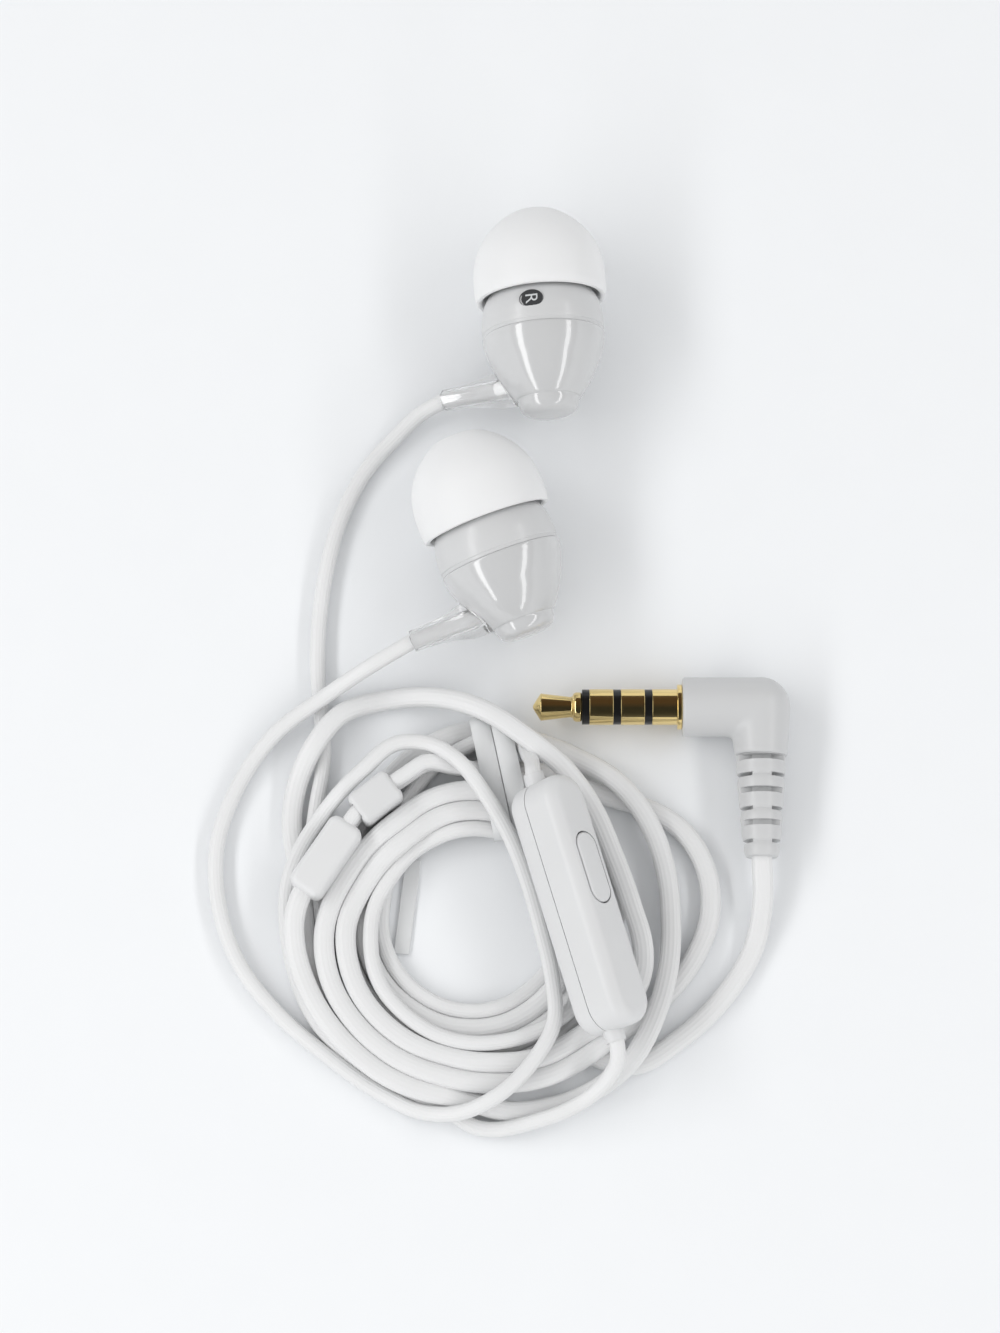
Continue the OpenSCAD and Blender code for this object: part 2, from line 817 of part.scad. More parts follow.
lay(LEFT_BUD) cord_knot();  // left_cord_knot
remote_front_shell();
remote_back_shell();
play_button();
dome_switch();
remote_board();
microphone();
remote_grommets();
plug_tip();
plug_ring_1();
plug_ring_2();
plug_sleeve();
plug_insulators();
plug_solder_tags();
plug_housing();
plug_boot();
y_upper_shell();
y_lower_shell();
cord_slider();
cord_coil();
cord_tie();
right_lead();
left_lead();
top_loop();
outer_arc();
far_arc();
plug_lead();
remote_top_lead();
remote_tail();
branch_pair();
main_exit();
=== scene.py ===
"""Wired in-ear earphones: the finish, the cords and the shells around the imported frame."""

import json
import math

import bpy
import numpy as np
from mathutils import Matrix, Vector


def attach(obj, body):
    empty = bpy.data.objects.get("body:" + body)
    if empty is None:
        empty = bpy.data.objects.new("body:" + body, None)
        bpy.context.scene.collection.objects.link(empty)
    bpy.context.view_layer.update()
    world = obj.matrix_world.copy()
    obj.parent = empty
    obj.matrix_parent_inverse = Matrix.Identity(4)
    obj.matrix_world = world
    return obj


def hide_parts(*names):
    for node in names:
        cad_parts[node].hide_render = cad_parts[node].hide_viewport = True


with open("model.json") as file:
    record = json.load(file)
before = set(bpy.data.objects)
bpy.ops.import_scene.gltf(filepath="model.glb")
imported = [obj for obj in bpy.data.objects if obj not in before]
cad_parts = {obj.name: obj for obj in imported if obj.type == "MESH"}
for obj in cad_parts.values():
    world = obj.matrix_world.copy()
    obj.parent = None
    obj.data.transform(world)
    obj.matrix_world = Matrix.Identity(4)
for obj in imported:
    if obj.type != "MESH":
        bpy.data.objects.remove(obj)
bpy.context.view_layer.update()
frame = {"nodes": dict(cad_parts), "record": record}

bl_info = {
    "name": "Wired Earphones",
    "version": (1, 0, 0),
    "blender": (4, 5, 0),
    "location": "View3D > Sidebar > Earphones",
    "description": "Builds wired earphones with their remote, splitter, plug and coiled cord",
    "category": "Object",
}

MM = 0.001
WELD = 2e-6  # metres within which vertices are one
TURN_STEPS = 80  # sides of a turned piece
CURVE_STEPS = 5  # steps from point to point on an outline's curves
SAME_POINT = 0.004  # millimetres within which an outline's points are one

# ---- Places, in millimetres, as the frame has them ----
BUDS = {
    # seam centre, heading of the nozzle, tilt, droop of the strain relief, turn of the side mark
    "right": {
        "at": (3.3, 9.2, 6.607), "heading": 94, "tilt": 1, "droop": 22, "mark": 11, "letter": "R",
    },
    "left": {
        "at": (-0.95, -13, 6.101), "heading": 110.5, "tilt": -5, "droop": 4, "mark": 188,
        "letter": "L",
    },
}
RELIEF_Z = -4.6
RELIEF_OUT = 10.8
MARK_Z = 2.2
MARK_OUT = 5.4
MARK_TOP = 0.63
REMOTE_AT = (6.55, -47.3, 7.6)
REMOTE_HEADING = -73
REMOTE_ROLL = 48
REMOTE_SIZE = (25, 5.4, 6.1)
REMOTE_SEAM = -0.6
BUTTON_X = -2.8
BUTTON_PROUD = 0.14
PLUG_AT = (16.2, -27.1, 2.9)
ELBOW_X = 8.1
ELBOW_REACH = 1.9
ELBOW_MESH = 0.13
PLUG_DROP = 4.9
BOOT_LEN = 9.9
BOOT_FRONT_SLOTS = (0.32, 3.52, 6.7)
BOOT_SIDE_SLOTS = (2.02, 5.32, 8.48)
BOOT_SLOT = 0.56
BOOT_WEB = 0.92
ARM_R = 2.9
DROP_R = 2.93
PIN_R = 1.75
BAND_IN = 1.3
CORE_R = 1.28
Y_AT = (-17.75, -42.1, 3.45)
Y_HEADING = 56
Y_SIZE = (8, 3.6, 3.6)
SLIDER_AT = (-13, -36.3, 3.45)
SLIDER_HEADING = 38
SLIDER_SIZE = (4.6, 3.4, 3.6)
SLIDER_WAY = (8, 1.62, 3.12)
SLIDER_TRAVEL = 3
COIL_AT = (-3.8, -47.8)
HOLE_R = 8.4
COIL_R = 17.8
TIE_AT = (-0.9, -33.8)
TIE_HEADING = 102
TIE_LEN = 12
TIE_W = 1.9
TIE_T = 0.35
TIE_TOP = 3.6
TIE_CROWN = ((0.42, 0.16), (0.25, 0.1), (0.1, 0.04))  # share of the width, rise of the back

# ---- How the cords lie: half width and half height, and the room they leave to the blocks ----
MAIN_HALF = (0.98, 0.73)
BRANCH_HALF = (0.75, 0.75)
Y_GUARD = 1.85
SLIDER_GUARD = 2.05
REMOTE_GUARD = 3.2
POINT_STEP = 0.55
SETTLE_ROUNDS = 140
HOME_PULL = (0.02, 0.05)  # of a free point, and what a held one has more
PUSH_SHARE = 0.5
PUSH_MOST = 0.25
STIFFNESS = 0.45
ROUNDNESS = 2 / 2.4  # of a cord's section: 1 is an ellipse

# ---- Where the cords lie loose, in millimetres ----
LEFT_LEAD = [
    (-13, -23, 4.4), (-18.2, -26.1, 2.5), (-23.2, -29.8, 1.4), (-26.6, -34.8, 0.8),
    (-28.4, -40.2, 0.8), (-28.2, -46.2, 0.8), (-26.1, -52.1, 0.8), (-22.2, -57, 0.8),
    (-17.6, -60.9, 0.8), (-12.6, -64.4, 0.8), (-8.4, -66.4, 1.4), (-5, -66.6, 2.6),
    (-1.4, -65.2, 4), (2, -62, 4), (4.2, -58, 4), (4, -53.8, 4), (2.9, -48.8, 3.6),
    (1.6, -44.2, 3.8), (-0.2, -39.8, 4.5), (-2.6, -35.8, 4.7), (-4.8, -33, 5),
    (-7.8, -31, 4.2), (-11, -30.9, 4), (-14.2, -33.5, 4), (-16.6, -35.8, 3.6),
    (-18.4, -38, 2.4),
]
RIGHT_LEAD = [
    (-8.8, 2.7, 1.75), (-11.3, 0.4, 1.1), (-14, -2.6, 0.8), (-16.6, -7.6, 0.8), (-18, -12.8, 0.8),
    (-18.7, -18, 0.8), (-18.8, -23.2, 0.8), (-18.4, -27.8, 0.8), (-18.2, -32.2, 0.8),
    (-18.8, -36.2, 0.8), (-19.2, -39.4, 0.8),
]
TOP_LOOP = [
    (-20.4, -42.6, 0.8), (-21.2, -38.8, 0.8), (-20.8, -34.8, 1), (-19, -30.8, 2.4),
    (-16.6, -27.8, 2.3), (-12.4, -26.1, 0.9), (-7.6, -26, 2.2), (-2.8, -27.6, 4.4),
    (1.8, -30.6, 4.6), (5, -33.2, 4.4), (8, -37.4, 4.2), (9.9, -41.8, 4), (11.6, -46.6, 4),
    (12.8, -51.2, 3.4), (12.6, -53.6, 2.4),
]
OUTER_ARC = [
    (-8, -30.8, 1.5), (-3.4, -29.1, 1.1), (1.4, -29.8, 0.9), (6.2, -31.7, 1.2),
    (10.6, -34.6, 2.4), (13.2, -38, 2.4), (15, -42.8, 1.8), (15.5, -47.8, 1.7),
    (15.2, -52.6, 2.4), (14, -57, 2.4), (11.5, -61.6, 2.4), (7.6, -64.5, 1.2),
    (3, -66, 0.8), (-1, -66.2, 0.8), (-3.6, -65, 0.8),
]
FAR_ARC = [
    (8.8, -35.4, 0.8), (12.4, -36.4, 0.8), (16.6, -38.8, 0.8), (19, -42.8, 0.8),
    (19.3, -47.4, 0.8), (17.4, -52, 0.8), (14.4, -55.6, 0.8), (11.2, -58.2, 0.8),
    (9.6, -59.2, 0.8),
]
PLUG_LEAD = [
    (24.4, -45.8, 1.9), (23.6, -50.2, 0.8), (20.6, -55.2, 0.8), (16.4, -59.2, 0.8),
    (11.6, -61.8, 0.8), (8.6, -61, 0.8), (7.6, -60.2, 0.8),
]
REMOTE_TOP_LEAD = [
    (-1.6, -29.5, 1.8), (0, -29.75, 2), (1.2, -30.7, 2.6), (1.85, -31.9, 3.7), (2.1, -33.2, 5.4),
]
REMOTE_TAIL = [
    (10.2, -61.8, 6.4), (9.4, -63.4, 4.9), (7.6, -65.1, 3.5), (5, -66.5, 2.7),
    (2, -67.4, 1.9), (-1.4, -68, 1), (-4, -67.6, 0.8), (-5.6, -66, 0.8),
]
MAIN_EXIT = [(-18.3, -42.9, 3.45), (-20, -45.4, 3.45), (-20.8, -47.8, 3.2), (-20.6, -50.8, 2.4)]
PAIR = [
    (-3.9, -33.3, -1.8), (-5.8, -32.8, -0.9), (-8.2, -32.6, 0), (-9.2, -33.32, 0),
    (-14.9, -37.8, 0), (-17, -41, 0),
]
PAIR_Z = 0.75

# ---- How the turns are wound: (angle in degrees, radius, height) about the coil's centre ----
MAIN_FROM_Y = [(190, 17.1, 2.4), (225, 17, 2.3), (250, 17.1, 1.6), (270.7, 17.2, 0.8)]
MAIN_MIDDLE = [
    (104, 17.5, 1.5), (110, 17.1, 0.8), (118, 16.2, 0.75), (135, 14.6, 0.8), (160, 13, 0.8),
    (180, 12.4, 0.8),
    (270, 12.8, 0.8), (330, 12.2, 0.9), (380, 12.4, 2.3), (450, 12.6, 2.3), (480, 12.2, 2.3),
    (504, 12, 2.3), (520, 12.5, 2.3), (532, 13.4, 2.3), (546, 14.3, 2.3), (570, 14.9, 2.3),
    (630, 15.8, 2.3), (660, 16.7, 1.6), (679.6, 17.6, 0.8),
]
MAIN_INNER = [
    (44.5, 17.7, 0.8), (60, 15.8, 0.8), (78, 14, 1.1), (90, 13, 0.9), (120, 11.4, 0.8),
    (180, 10.2, 0.8), (270, 10.6, 0.8), (330, 10.3, 1), (380, 10.4, 2.3), (450, 10.6, 2.3),
    (504, 10.1, 2.3), (520, 10.6, 2.3), (546, 12.2, 2.3), (580, 13, 2.3), (630, 13.9, 2.3),
    (670, 15.6, 2.4), (700.5, 17.4, 2.4),
]
MAIN_TO_PLUG = [
    (162.6, 17.4, 0.8), (180, 16.1, 0.8), (200, 15.9, 0.8), (270, 15.7, 0.8), (312.6, 16.8, 0.8),
]
LEFT_OUTER_TURN = [
    (146, 17.6, 2.4), (160, 17.9, 2.2), (178, 17.8, 1), (195, 17.7, 0.8), (240, 17.9, 0.8),
    (264.3, 18.3, 0.8),
]
LEFT_INNER_TURN = [
    (83, 18.1, 2.1), (92, 17.6, 1.7), (103, 15.6, 1.1), (116, 13.2, 0.8), (134, 10.6, 0.8),
    (156, 8.9, 0.8),
    (180, 8.5, 0.8), (270, 8.8, 0.8), (330, 9.4, 0.8), (390, 12.6, 0.8), (448, 14.6, 0.9),
]
RIGHT_TURNS = [
    (151.4, 17.5, 0.8), (162, 15.8, 0.8), (175, 14.5, 0.8), (190, 14.2, 0.8), (270, 14.2, 0.8),
    (330, 13.4, 0.8), (400, 10.6, 2.2), (450, 8.9, 2.2), (504, 8.6, 2.1), (540, 9.6, 1.9),
    (585, 11, 2.2), (630, 12.1, 2.3), (690, 13.2, 2.3), (750, 14.6, 2.4), (808, 14.6, 2.4),
]


# ---- Sizes and colours that a user would change ----
def length_property(name, description, default, low, high):
    return bpy.props.FloatProperty(
        name=name, description=description, default=default, min=low, max=high, unit="LENGTH"
    )


class EarphoneSizes(bpy.types.PropertyGroup):
    branch_width: length_property(
        "Branch width", "Diameter of the two branches of the cord", 0.0015, 0.001, 0.002
    )
    main_width: length_property(
        "Main cord width", "Width of the slightly flat main cord", 0.002, 0.0016, 0.0022
    )
    main_height: length_property(
        "Main cord height", "Thickness of the slightly flat main cord", 0.00146, 0.001, 0.002
    )
    rib_count: bpy.props.IntProperty(
        name="Ribs", description="Fine lengthwise ribs around a cord", default=18, min=8, max=40
    )
    letter_height: length_property(
        "Letter height", "Height of the letter on a bud's side mark", 0.0016, 0.001, 0.002
    )


def colour_property(name, description, default):
    return bpy.props.FloatVectorProperty(
        name=name, description=description, subtype="COLOR", size=3, min=0, max=1, default=default
    )


class EarphoneColours(bpy.types.PropertyGroup):
    plastic: colour_property("White plastic", "Satin white of the splitter", (0.75, 0.755, 0.76))
    remote: colour_property(
        "Remote plastic", "Satin white of the remote and the slider", (0.71, 0.715, 0.72)
    )
    plug: colour_property(
        "Plug plastic", "Pale grey of the plug's housing and boot", (0.61, 0.615, 0.62)
    )
    housing: colour_property(
        "Housing", "Glossy white of the buds' front housings", (0.63, 0.635, 0.64)
    )
    cup: colour_property("Cup", "Silver lacquer of the buds' rear cups", (0.6, 0.605, 0.61))
    silicone: colour_property("Silicone", "Translucent white of the ear tips", (0.9, 0.905, 0.91))
    cord: colour_property("Cord", "White of the cord's jacket", (0.8, 0.803, 0.806))
    mark: colour_property("Side mark", "Dark grey of the side marks", (0.055, 0.058, 0.062))
    gold: colour_property("Gold", "Plating of the plug's contacts", (0.95, 0.74, 0.34))
    floor: colour_property("Floor", "Pale floor under the set", (0.855, 0.87, 0.886))


def sizes():
    return bpy.context.scene.earphone_sizes


def colours():
    return bpy.context.scene.earphone_colours


# ---- Materials ----
def fill(node, values):
    """Sets a shader node: names with a capital are its sockets, the others its own settings."""
    for name, value in values.items():
        if name[0].isupper():
            node.inputs[name.replace("_", " ")].default_value = value
        else:
            setattr(node, name, value)
    return node


def add_node(tree, kind, **values):
    return fill(tree.nodes.new("ShaderNode" + kind), values)


def wire(tree, source, output, target, entry):
    tree.links.new(source.outputs[output], target.inputs[entry])


def grain_group():
    """Fine uneven grain: a tone from 0 to 1 and a height for a bump."""
    name = "Moulded grain"
    if name in bpy.data.node_groups:
        return bpy.data.node_groups[name]
    group = bpy.data.node_groups.new(name, "ShaderNodeTree")
    for socket, side in (("Scale", "INPUT"), ("Tone", "OUTPUT"), ("Height", "OUTPUT")):
        group.interface.new_socket(name=socket, in_out=side, socket_type="NodeSocketFloat")
    given = group.nodes.new("NodeGroupInput")
    out = group.nodes.new("NodeGroupOutput")
    where = add_node(group, "TexCoord")
    coarse = add_node(group, "TexNoise", Scale=160, Detail=3)
    fine = add_node(group, "TexNoise", Detail=2)
    wire(group, where, "Object", coarse, "Vector")
    wire(group, where, "Object", fine, "Vector")
    wire(group, given, "Scale", fine, "Scale")
    wire(group, coarse, "Fac", out, "Tone")
    wire(group, fine, "Fac", out, "Height")
    return group


def darker(colour, share):
    return tuple(c * (1 - share) for c in colour) + (1,)


def moulded(name, colour, roughness, grain=900, depth=4e-6, shade=0.05, **sockets):
    """Material with an uneven tone, a roughness that follows it and a fine grain."""
    material = bpy.data.materials.new(name)
    material.use_nodes = True
    tree = material.node_tree
    shader = fill(tree.nodes["Principled BSDF"], sockets)
    group = add_node(tree, "Group", node_tree=grain_group(), Scale=grain)
    tone = add_node(tree, "Mix", data_type="RGBA", A=darker(colour, shade), B=darker(colour, 0))
    rough = add_node(
        tree, "MapRange", To_Min=roughness * 0.85, To_Max=min(1, roughness * 1.15)
    )
    bump = add_node(tree, "Bump", Strength=0.5, Distance=depth)
    wire(tree, group, "Tone", tone, "Factor")
    wire(tree, tone, "Result", shader, "Base Color")
    wire(tree, group, "Tone", rough, "Value")
    wire(tree, rough, "Result", shader, "Roughness")
    wire(tree, group, "Height", bump, "Height")
    wire(tree, bump, "Normal", shader, "Normal")
    return material


def jacket_material():
    """The cord's jacket: ribs along its length, from the tube's own UV map."""
    material = moulded("Cord jacket", tuple(colours().cord), 0.42, depth=3e-6, shade=0.07)
    tree = material.node_tree
    grain = next(n for n in tree.nodes if n.type == "BUMP")
    uv = add_node(tree, "UVMap", uv_map="Along")
    split = add_node(tree, "SeparateXYZ")
    wave = add_node(tree, "Math", operation="MULTIPLY")
    wave.inputs[1].default_value = 2 * math.pi * sizes().rib_count
    ribs = add_node(tree, "Math", operation="SINE")
    bump = add_node(tree, "Bump", Strength=0.6, Distance=1.4e-5)
    wire(tree, uv, "UV", split, "Vector")
    wire(tree, split, "X", wave, 0)
    wire(tree, wave, "Value", ribs, 0)
    wire(tree, ribs, "Value", bump, "Height")
    wire(tree, grain, "Normal", bump, "Normal")
    wire(tree, bump, "Normal", tree.nodes["Principled BSDF"], "Normal")
    return material


FINISHES = {}


def build_finishes():
    tint = colours()
    plastic, remote = tuple(tint.plastic), tuple(tint.remote)
    FINISHES.update(
        silicone_tip=moulded(
            "Ear tip silicone", tuple(tint.silicone), 0.5, grain=700, depth=6e-6, shade=0.01,
            Transmission_Weight=0.1, IOR=1.41, Subsurface_Weight=0.35, Subsurface_Scale=0.001,
            Subsurface_Radius=(1, 1, 1),
        ),
        white_gloss=moulded(
            "Gloss white housing", tuple(tint.housing), 0.34, shade=0.03,
            Coat_Weight=0.15, Coat_Roughness=0.1,
        ),
        silver_cup=moulded(
            "Silver cup lacquer", tuple(tint.cup), 0.2, grain=2600, depth=2e-6, Coat_Weight=1.0
        ),
        steel=moulded("Plain steel", (0.6, 0.6, 0.6), 0.3, Metallic=1.0),
        driver_plastic=moulded("Driver frame plastic", (0.02, 0.02, 0.022), 0.5),
        magnet_plating=moulded("Magnet nickel", (0.66, 0.64, 0.6), 0.18, Metallic=1.0),
        copper_wire=moulded("Coil copper", (0.72, 0.3, 0.14), 0.3, grain=4000, Metallic=1.0),
        diaphragm_film=moulded("Diaphragm film", (0.62, 0.63, 0.66), 0.22, shade=0.1),
        circuit_board=moulded("Board green", (0.02, 0.12, 0.05), 0.4, shade=0.25),
        mark_grey=moulded("Side mark grey", tuple(tint.mark), 0.16, shade=0.1, Coat_Weight=1.0),
        clear_sleeve=moulded(
            "Clear sleeve", (1.0, 1.0, 1.0), 0.1, depth=1e-6, shade=0.005,
            Transmission_Weight=0.82, IOR=1.3, Coat_Weight=1.0, Coat_Roughness=0.05,
        ),
        cord_white=jacket_material(),
        white_satin=moulded("Satin white plastic", plastic, 0.42, grain=1500, depth=5e-6),
        button_white=moulded("Button white", plastic, 0.36, grain=1500, shade=0.03),
        gold_plating=moulded("Gold plating", tuple(tint.gold), 0.1, shade=0.12, Metallic=1.0),
        black_insulator=moulded("Black insulator", (0.008, 0.008, 0.008), 0.3, shade=0.3),
        tie_white=moulded(
            "Tie plastic", (0.72, 0.73, 0.735), 0.38, grain=1100, depth=8e-6, shade=0.08
        ),
        remote=moulded("Remote plastic", remote, 0.4, grain=1500, depth=5e-6),
        remote_button=moulded("Play button plastic", remote, 0.34, grain=1500, shade=0.03),
        plug=moulded("Plug plastic", tuple(tint.plug), 0.36, grain=1500, depth=5e-6),
        letter=moulded("Mark letter", (0.62, 0.64, 0.65), 0.4, shade=0.1),
    )


def finish(piece, body, slot, *stands_for, material=None):
    """Gives a piece its material and ties it to its body and its frame nodes."""
    piece.data.materials.clear()
    piece.data.materials.append(FINISHES[material or slot])
    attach(piece, body)
    if stands_for:
        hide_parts(*stands_for)


# ---- Modelling helpers ----
def clear_selection():
    if bpy.context.object and bpy.context.object.mode != "OBJECT":
        bpy.ops.object.mode_set(mode="OBJECT")
    bpy.ops.object.select_all(action="DESELECT")


def only(piece):
    clear_selection()
    piece.select_set(True)
    bpy.context.view_layer.objects.active = piece


def join(pieces, name):
    """Makes one piece of several."""
    clear_selection()
    for piece in pieces:
        piece.select_set(True)
    bpy.context.view_layer.objects.active = pieces[0]
    bpy.ops.object.join()
    pieces[0].name = name
    return pieces[0]


def smooth(piece, degrees=35):
    only(piece)
    bpy.ops.object.shade_smooth_by_angle(angle=math.radians(degrees))


def modify(piece, kind, **settings):
    """Adds a modifier and applies it."""
    modifier = piece.modifiers.new("Shape", kind)
    for name, value in settings.items():
        setattr(modifier, name, value)
    only(piece)
    bpy.ops.object.modifier_apply(modifier=modifier.name)


def turn(degrees, axis):
    return Matrix.Rotation(math.radians(degrees), 4, axis)


def shift(*move):
    """A move by x, y and z in mm."""
    return Matrix.Translation(Vector(move) * MM)


def place(piece, matrix):
    only(piece)
    piece.matrix_world = matrix
    bpy.ops.object.transform_apply(location=True, rotation=True, scale=True)


def copied(piece, name):
    twin = piece.copy()
    twin.data = piece.data.copy()
    twin.name = name
    bpy.context.collection.objects.link(twin)
    return twin


def spline(points, per):
    """Points along a smooth curve through the given ones."""
    pts = np.array(points, float)
    before = np.vstack([2 * pts[0] - pts[1], pts[:-1]])
    after = np.vstack([pts[1:], 2 * pts[-1] - pts[-2]])
    gap_in = np.linalg.norm(pts - before, axis=1)[:, None] + 1e-9
    gap_out = np.linalg.norm(after - pts, axis=1)[:, None] + 1e-9
    slope = (pts - before) / gap_in * gap_out + (after - pts) / gap_out * gap_in
    slope /= gap_in + gap_out
    curve = []
    for i in range(len(pts) - 1):
        span = gap_out[i]
        for t in np.arange(per) / per:
            curve.append(
                (2 * t**3 - 3 * t**2 + 1) * pts[i]
                + (t**3 - 2 * t**2 + t) * span * slope[i]
                + (3 * t**2 - 2 * t**3) * pts[i + 1]
                + (t**3 - t**2) * span * slope[i + 1]
            )
    return np.vstack(curve + [pts[-1]])


def pick_edges(piece, wanted):
    """Goes to edit mode with only the wanted edges selected. wanted gets an edge's two ends."""
    only(piece)
    bpy.ops.object.mode_set(mode="EDIT")
    bpy.ops.mesh.select_mode(type="EDGE")
    bpy.ops.mesh.select_all(action="DESELECT")
    bpy.ops.object.mode_set(mode="OBJECT")
    for edge in piece.data.edges:
        a, b = (piece.data.vertices[v].co for v in edge.vertices)
        edge.select = wanted(a, b)
    bpy.ops.object.mode_set(mode="EDIT")


def leave_edit():
    bpy.ops.mesh.select_all(action="SELECT")
    bpy.ops.mesh.remove_doubles(threshold=WELD)
    bpy.ops.mesh.normals_make_consistent(inside=False)
    bpy.ops.mesh.select_mode(type="VERT")
    bpy.ops.object.mode_set(mode="OBJECT")


def outline(*parts):
    """An outline in mm. A (radius, height) point is a corner, and a list of them is a curve."""
    line = []
    for part in parts:
        for point in spline(part, CURVE_STEPS) if isinstance(part, list) else [part]:
            if not line or math.dist(line[-1], point) > SAME_POINT:
                line.append(tuple(point))
    return line


def edit_all(piece):
    """Goes to edit mode with the whole piece selected."""
    only(piece)
    bpy.ops.object.mode_set(mode="EDIT")
    bpy.ops.mesh.select_all(action="SELECT")


def lathe(name, *parts):
    """Draws an outline vertex by vertex and spins it about Z."""
    line = outline(*parts)
    clear_selection()
    bpy.ops.mesh.primitive_plane_add(size=MM)
    piece = bpy.context.object
    piece.name = name
    edit_all(piece)
    bpy.ops.mesh.merge(type="CENTER")
    bpy.ops.transform.translate(value=(line[0][0] * MM, 0, line[0][1] * MM))
    for a, b in zip(line, line[1:]):
        step = ((b[0] - a[0]) * MM, 0, (b[1] - a[1]) * MM)
        bpy.ops.mesh.extrude_vertices_move(TRANSFORM_OT_translate={"value": step})
    bpy.ops.mesh.select_all(action="SELECT")
    bpy.ops.mesh.spin(steps=TURN_STEPS, angle=2 * math.pi, center=(0, 0, 0), axis=(0, 0, 1))
    leave_edit()
    smooth(piece)
    return piece


def block(name, size, corner, edge):
    """A bar with round corners in plan and soft edges above and below. Sizes in mm."""
    clear_selection()
    bpy.ops.mesh.primitive_cube_add(size=1, scale=[s * MM for s in size])
    piece = bpy.context.object
    piece.name = name
    bpy.ops.object.transform_apply(location=False, rotation=False, scale=True)
    pick_edges(piece, lambda a, b: abs(a.z - b.z) > WELD)
    bpy.ops.mesh.bevel(offset=corner * MM, segments=10, affect="EDGES", clamp_overlap=True)
    leave_edit()
    rim = size[2] * MM / 2 - WELD
    pick_edges(piece, lambda a, b: min(abs(a.z), abs(b.z)) > rim and a.z * b.z > 0)
    bpy.ops.mesh.bevel(offset=edge * MM, segments=6, affect="EDGES", clamp_overlap=True)
    leave_edit()
    return piece


def keep_side(piece, height, above):
    """Cuts a piece at a height in mm and leaves its open half."""
    edit_all(piece)
    bpy.ops.mesh.bisect(
        plane_co=(0, 0, height * MM), plane_no=(0, 0, 1), clear_inner=above, clear_outer=not above
    )
    bpy.ops.object.mode_set(mode="OBJECT")


def thicken(piece, wall):
    modify(piece, "SOLIDIFY", thickness=wall * MM, offset=-1, use_even_offset=True)


def two_shells(whole, names, seam, gap, wall):
    """Splits a block into an upper and a lower hollow shell. Sizes in mm."""
    shells = [copied(whole, name) for name in names]
    bpy.data.objects.remove(whole)
    for shell, side in zip(shells, (1, -1)):
        keep_side(shell, seam + side * gap, side > 0)
        thicken(shell, wall)
    return shells


def carve(piece, tool, operation="DIFFERENCE"):
    """Takes the tool away from a piece, or unites the two. The tool is used up."""
    modify(piece, "BOOLEAN", operation=operation, solver="EXACT", object=tool)
    bpy.data.objects.remove(tool)


# ---- Cords ----
def resample(points, step):
    """The same line with even steps."""
    pts = np.asarray(points, float)
    run = np.concatenate([[0], np.cumsum(np.linalg.norm(np.diff(pts, axis=0), axis=1))])
    count = max(2, int(round(run[-1] / step)) + 1)
    at = np.linspace(0, run[-1], count)
    return np.column_stack([np.interp(at, run, pts[:, k]) for k in range(3)])


def turns(lanes):
    """The winding's points: radius and height ease from lane to lane as the angle runs on."""
    angle, radius, height = np.array(lanes, float).T
    fine = np.arange(angle[0], angle[-1], 3)
    share = np.clip(np.searchsorted(angle, fine, side="right") - 1, 0, len(angle) - 2)
    t = (fine - angle[share]) / (angle[share + 1] - angle[share])
    ease = t * t * (3 - 2 * t)
    r = radius[share] + ease * (radius[share + 1] - radius[share])
    z = height[share] + ease * (height[share + 1] - height[share])
    a = np.radians(fine)
    return np.column_stack([COIL_AT[0] + r * np.cos(a), COIL_AT[1] + r * np.sin(a), z])


def thread(stretches, step=1.0, ease=6):
    """Joins stretches into one line, and says how firmly each point keeps its place, 0 to 1."""
    line = []
    hold = []
    for i, (kind, points) in enumerate(stretches):
        part = turns(points) if kind == "turns" else spline(points, 8)
        line.append(resample(part, step))
        firm = np.full(len(line[-1]), 0.0 if kind == "turns" else 1.0)
        if i > 0 and stretches[i - 1][0] == "turns":
            firm[:ease] = np.arange(1, ease + 1) / (ease + 1)
        if i + 1 < len(stretches) and stretches[i + 1][0] == "turns":
            firm[-ease:] = np.arange(ease, 0, -1) / (ease + 1)
        hold.append(firm)
    return np.vstack(line), np.concatenate(hold)


# ---- Places on the buds and the remote, in millimetres ----
def bud_matrix(side):
    bud = BUDS[side]
    return (
        shift(*bud["at"]) @ turn(bud["heading"], "Z")
        @ turn(90 + bud["tilt"], "Y") @ turn(-bud["droop"], "Z")
    )


def bud_point(side, u):
    """A point on the strain relief's axis, u mm from the bud's own axis, in mm."""
    return tuple(bud_matrix(side) @ Vector((0, u * MM, RELIEF_Z * MM)) / MM)


def remote_matrix():
    return shift(*REMOTE_AT) @ turn(REMOTE_HEADING, "Z") @ turn(-REMOTE_ROLL, "X")


def remote_point(x):
    """A point on the line where the cord runs through the remote, in mm."""
    return tuple(remote_matrix() @ Vector((x * MM, 0, REMOTE_SEAM * MM)) / MM)


def block_axis(at, heading, back, front):
    """Points a millimetre apart along a block on the coil, as a guard for the turns."""
    a = math.radians(heading)
    places = np.arange(back, front, 1.0)
    return [(at[0] + u * math.cos(a), at[1] + u * math.sin(a), at[2]) for u in places]


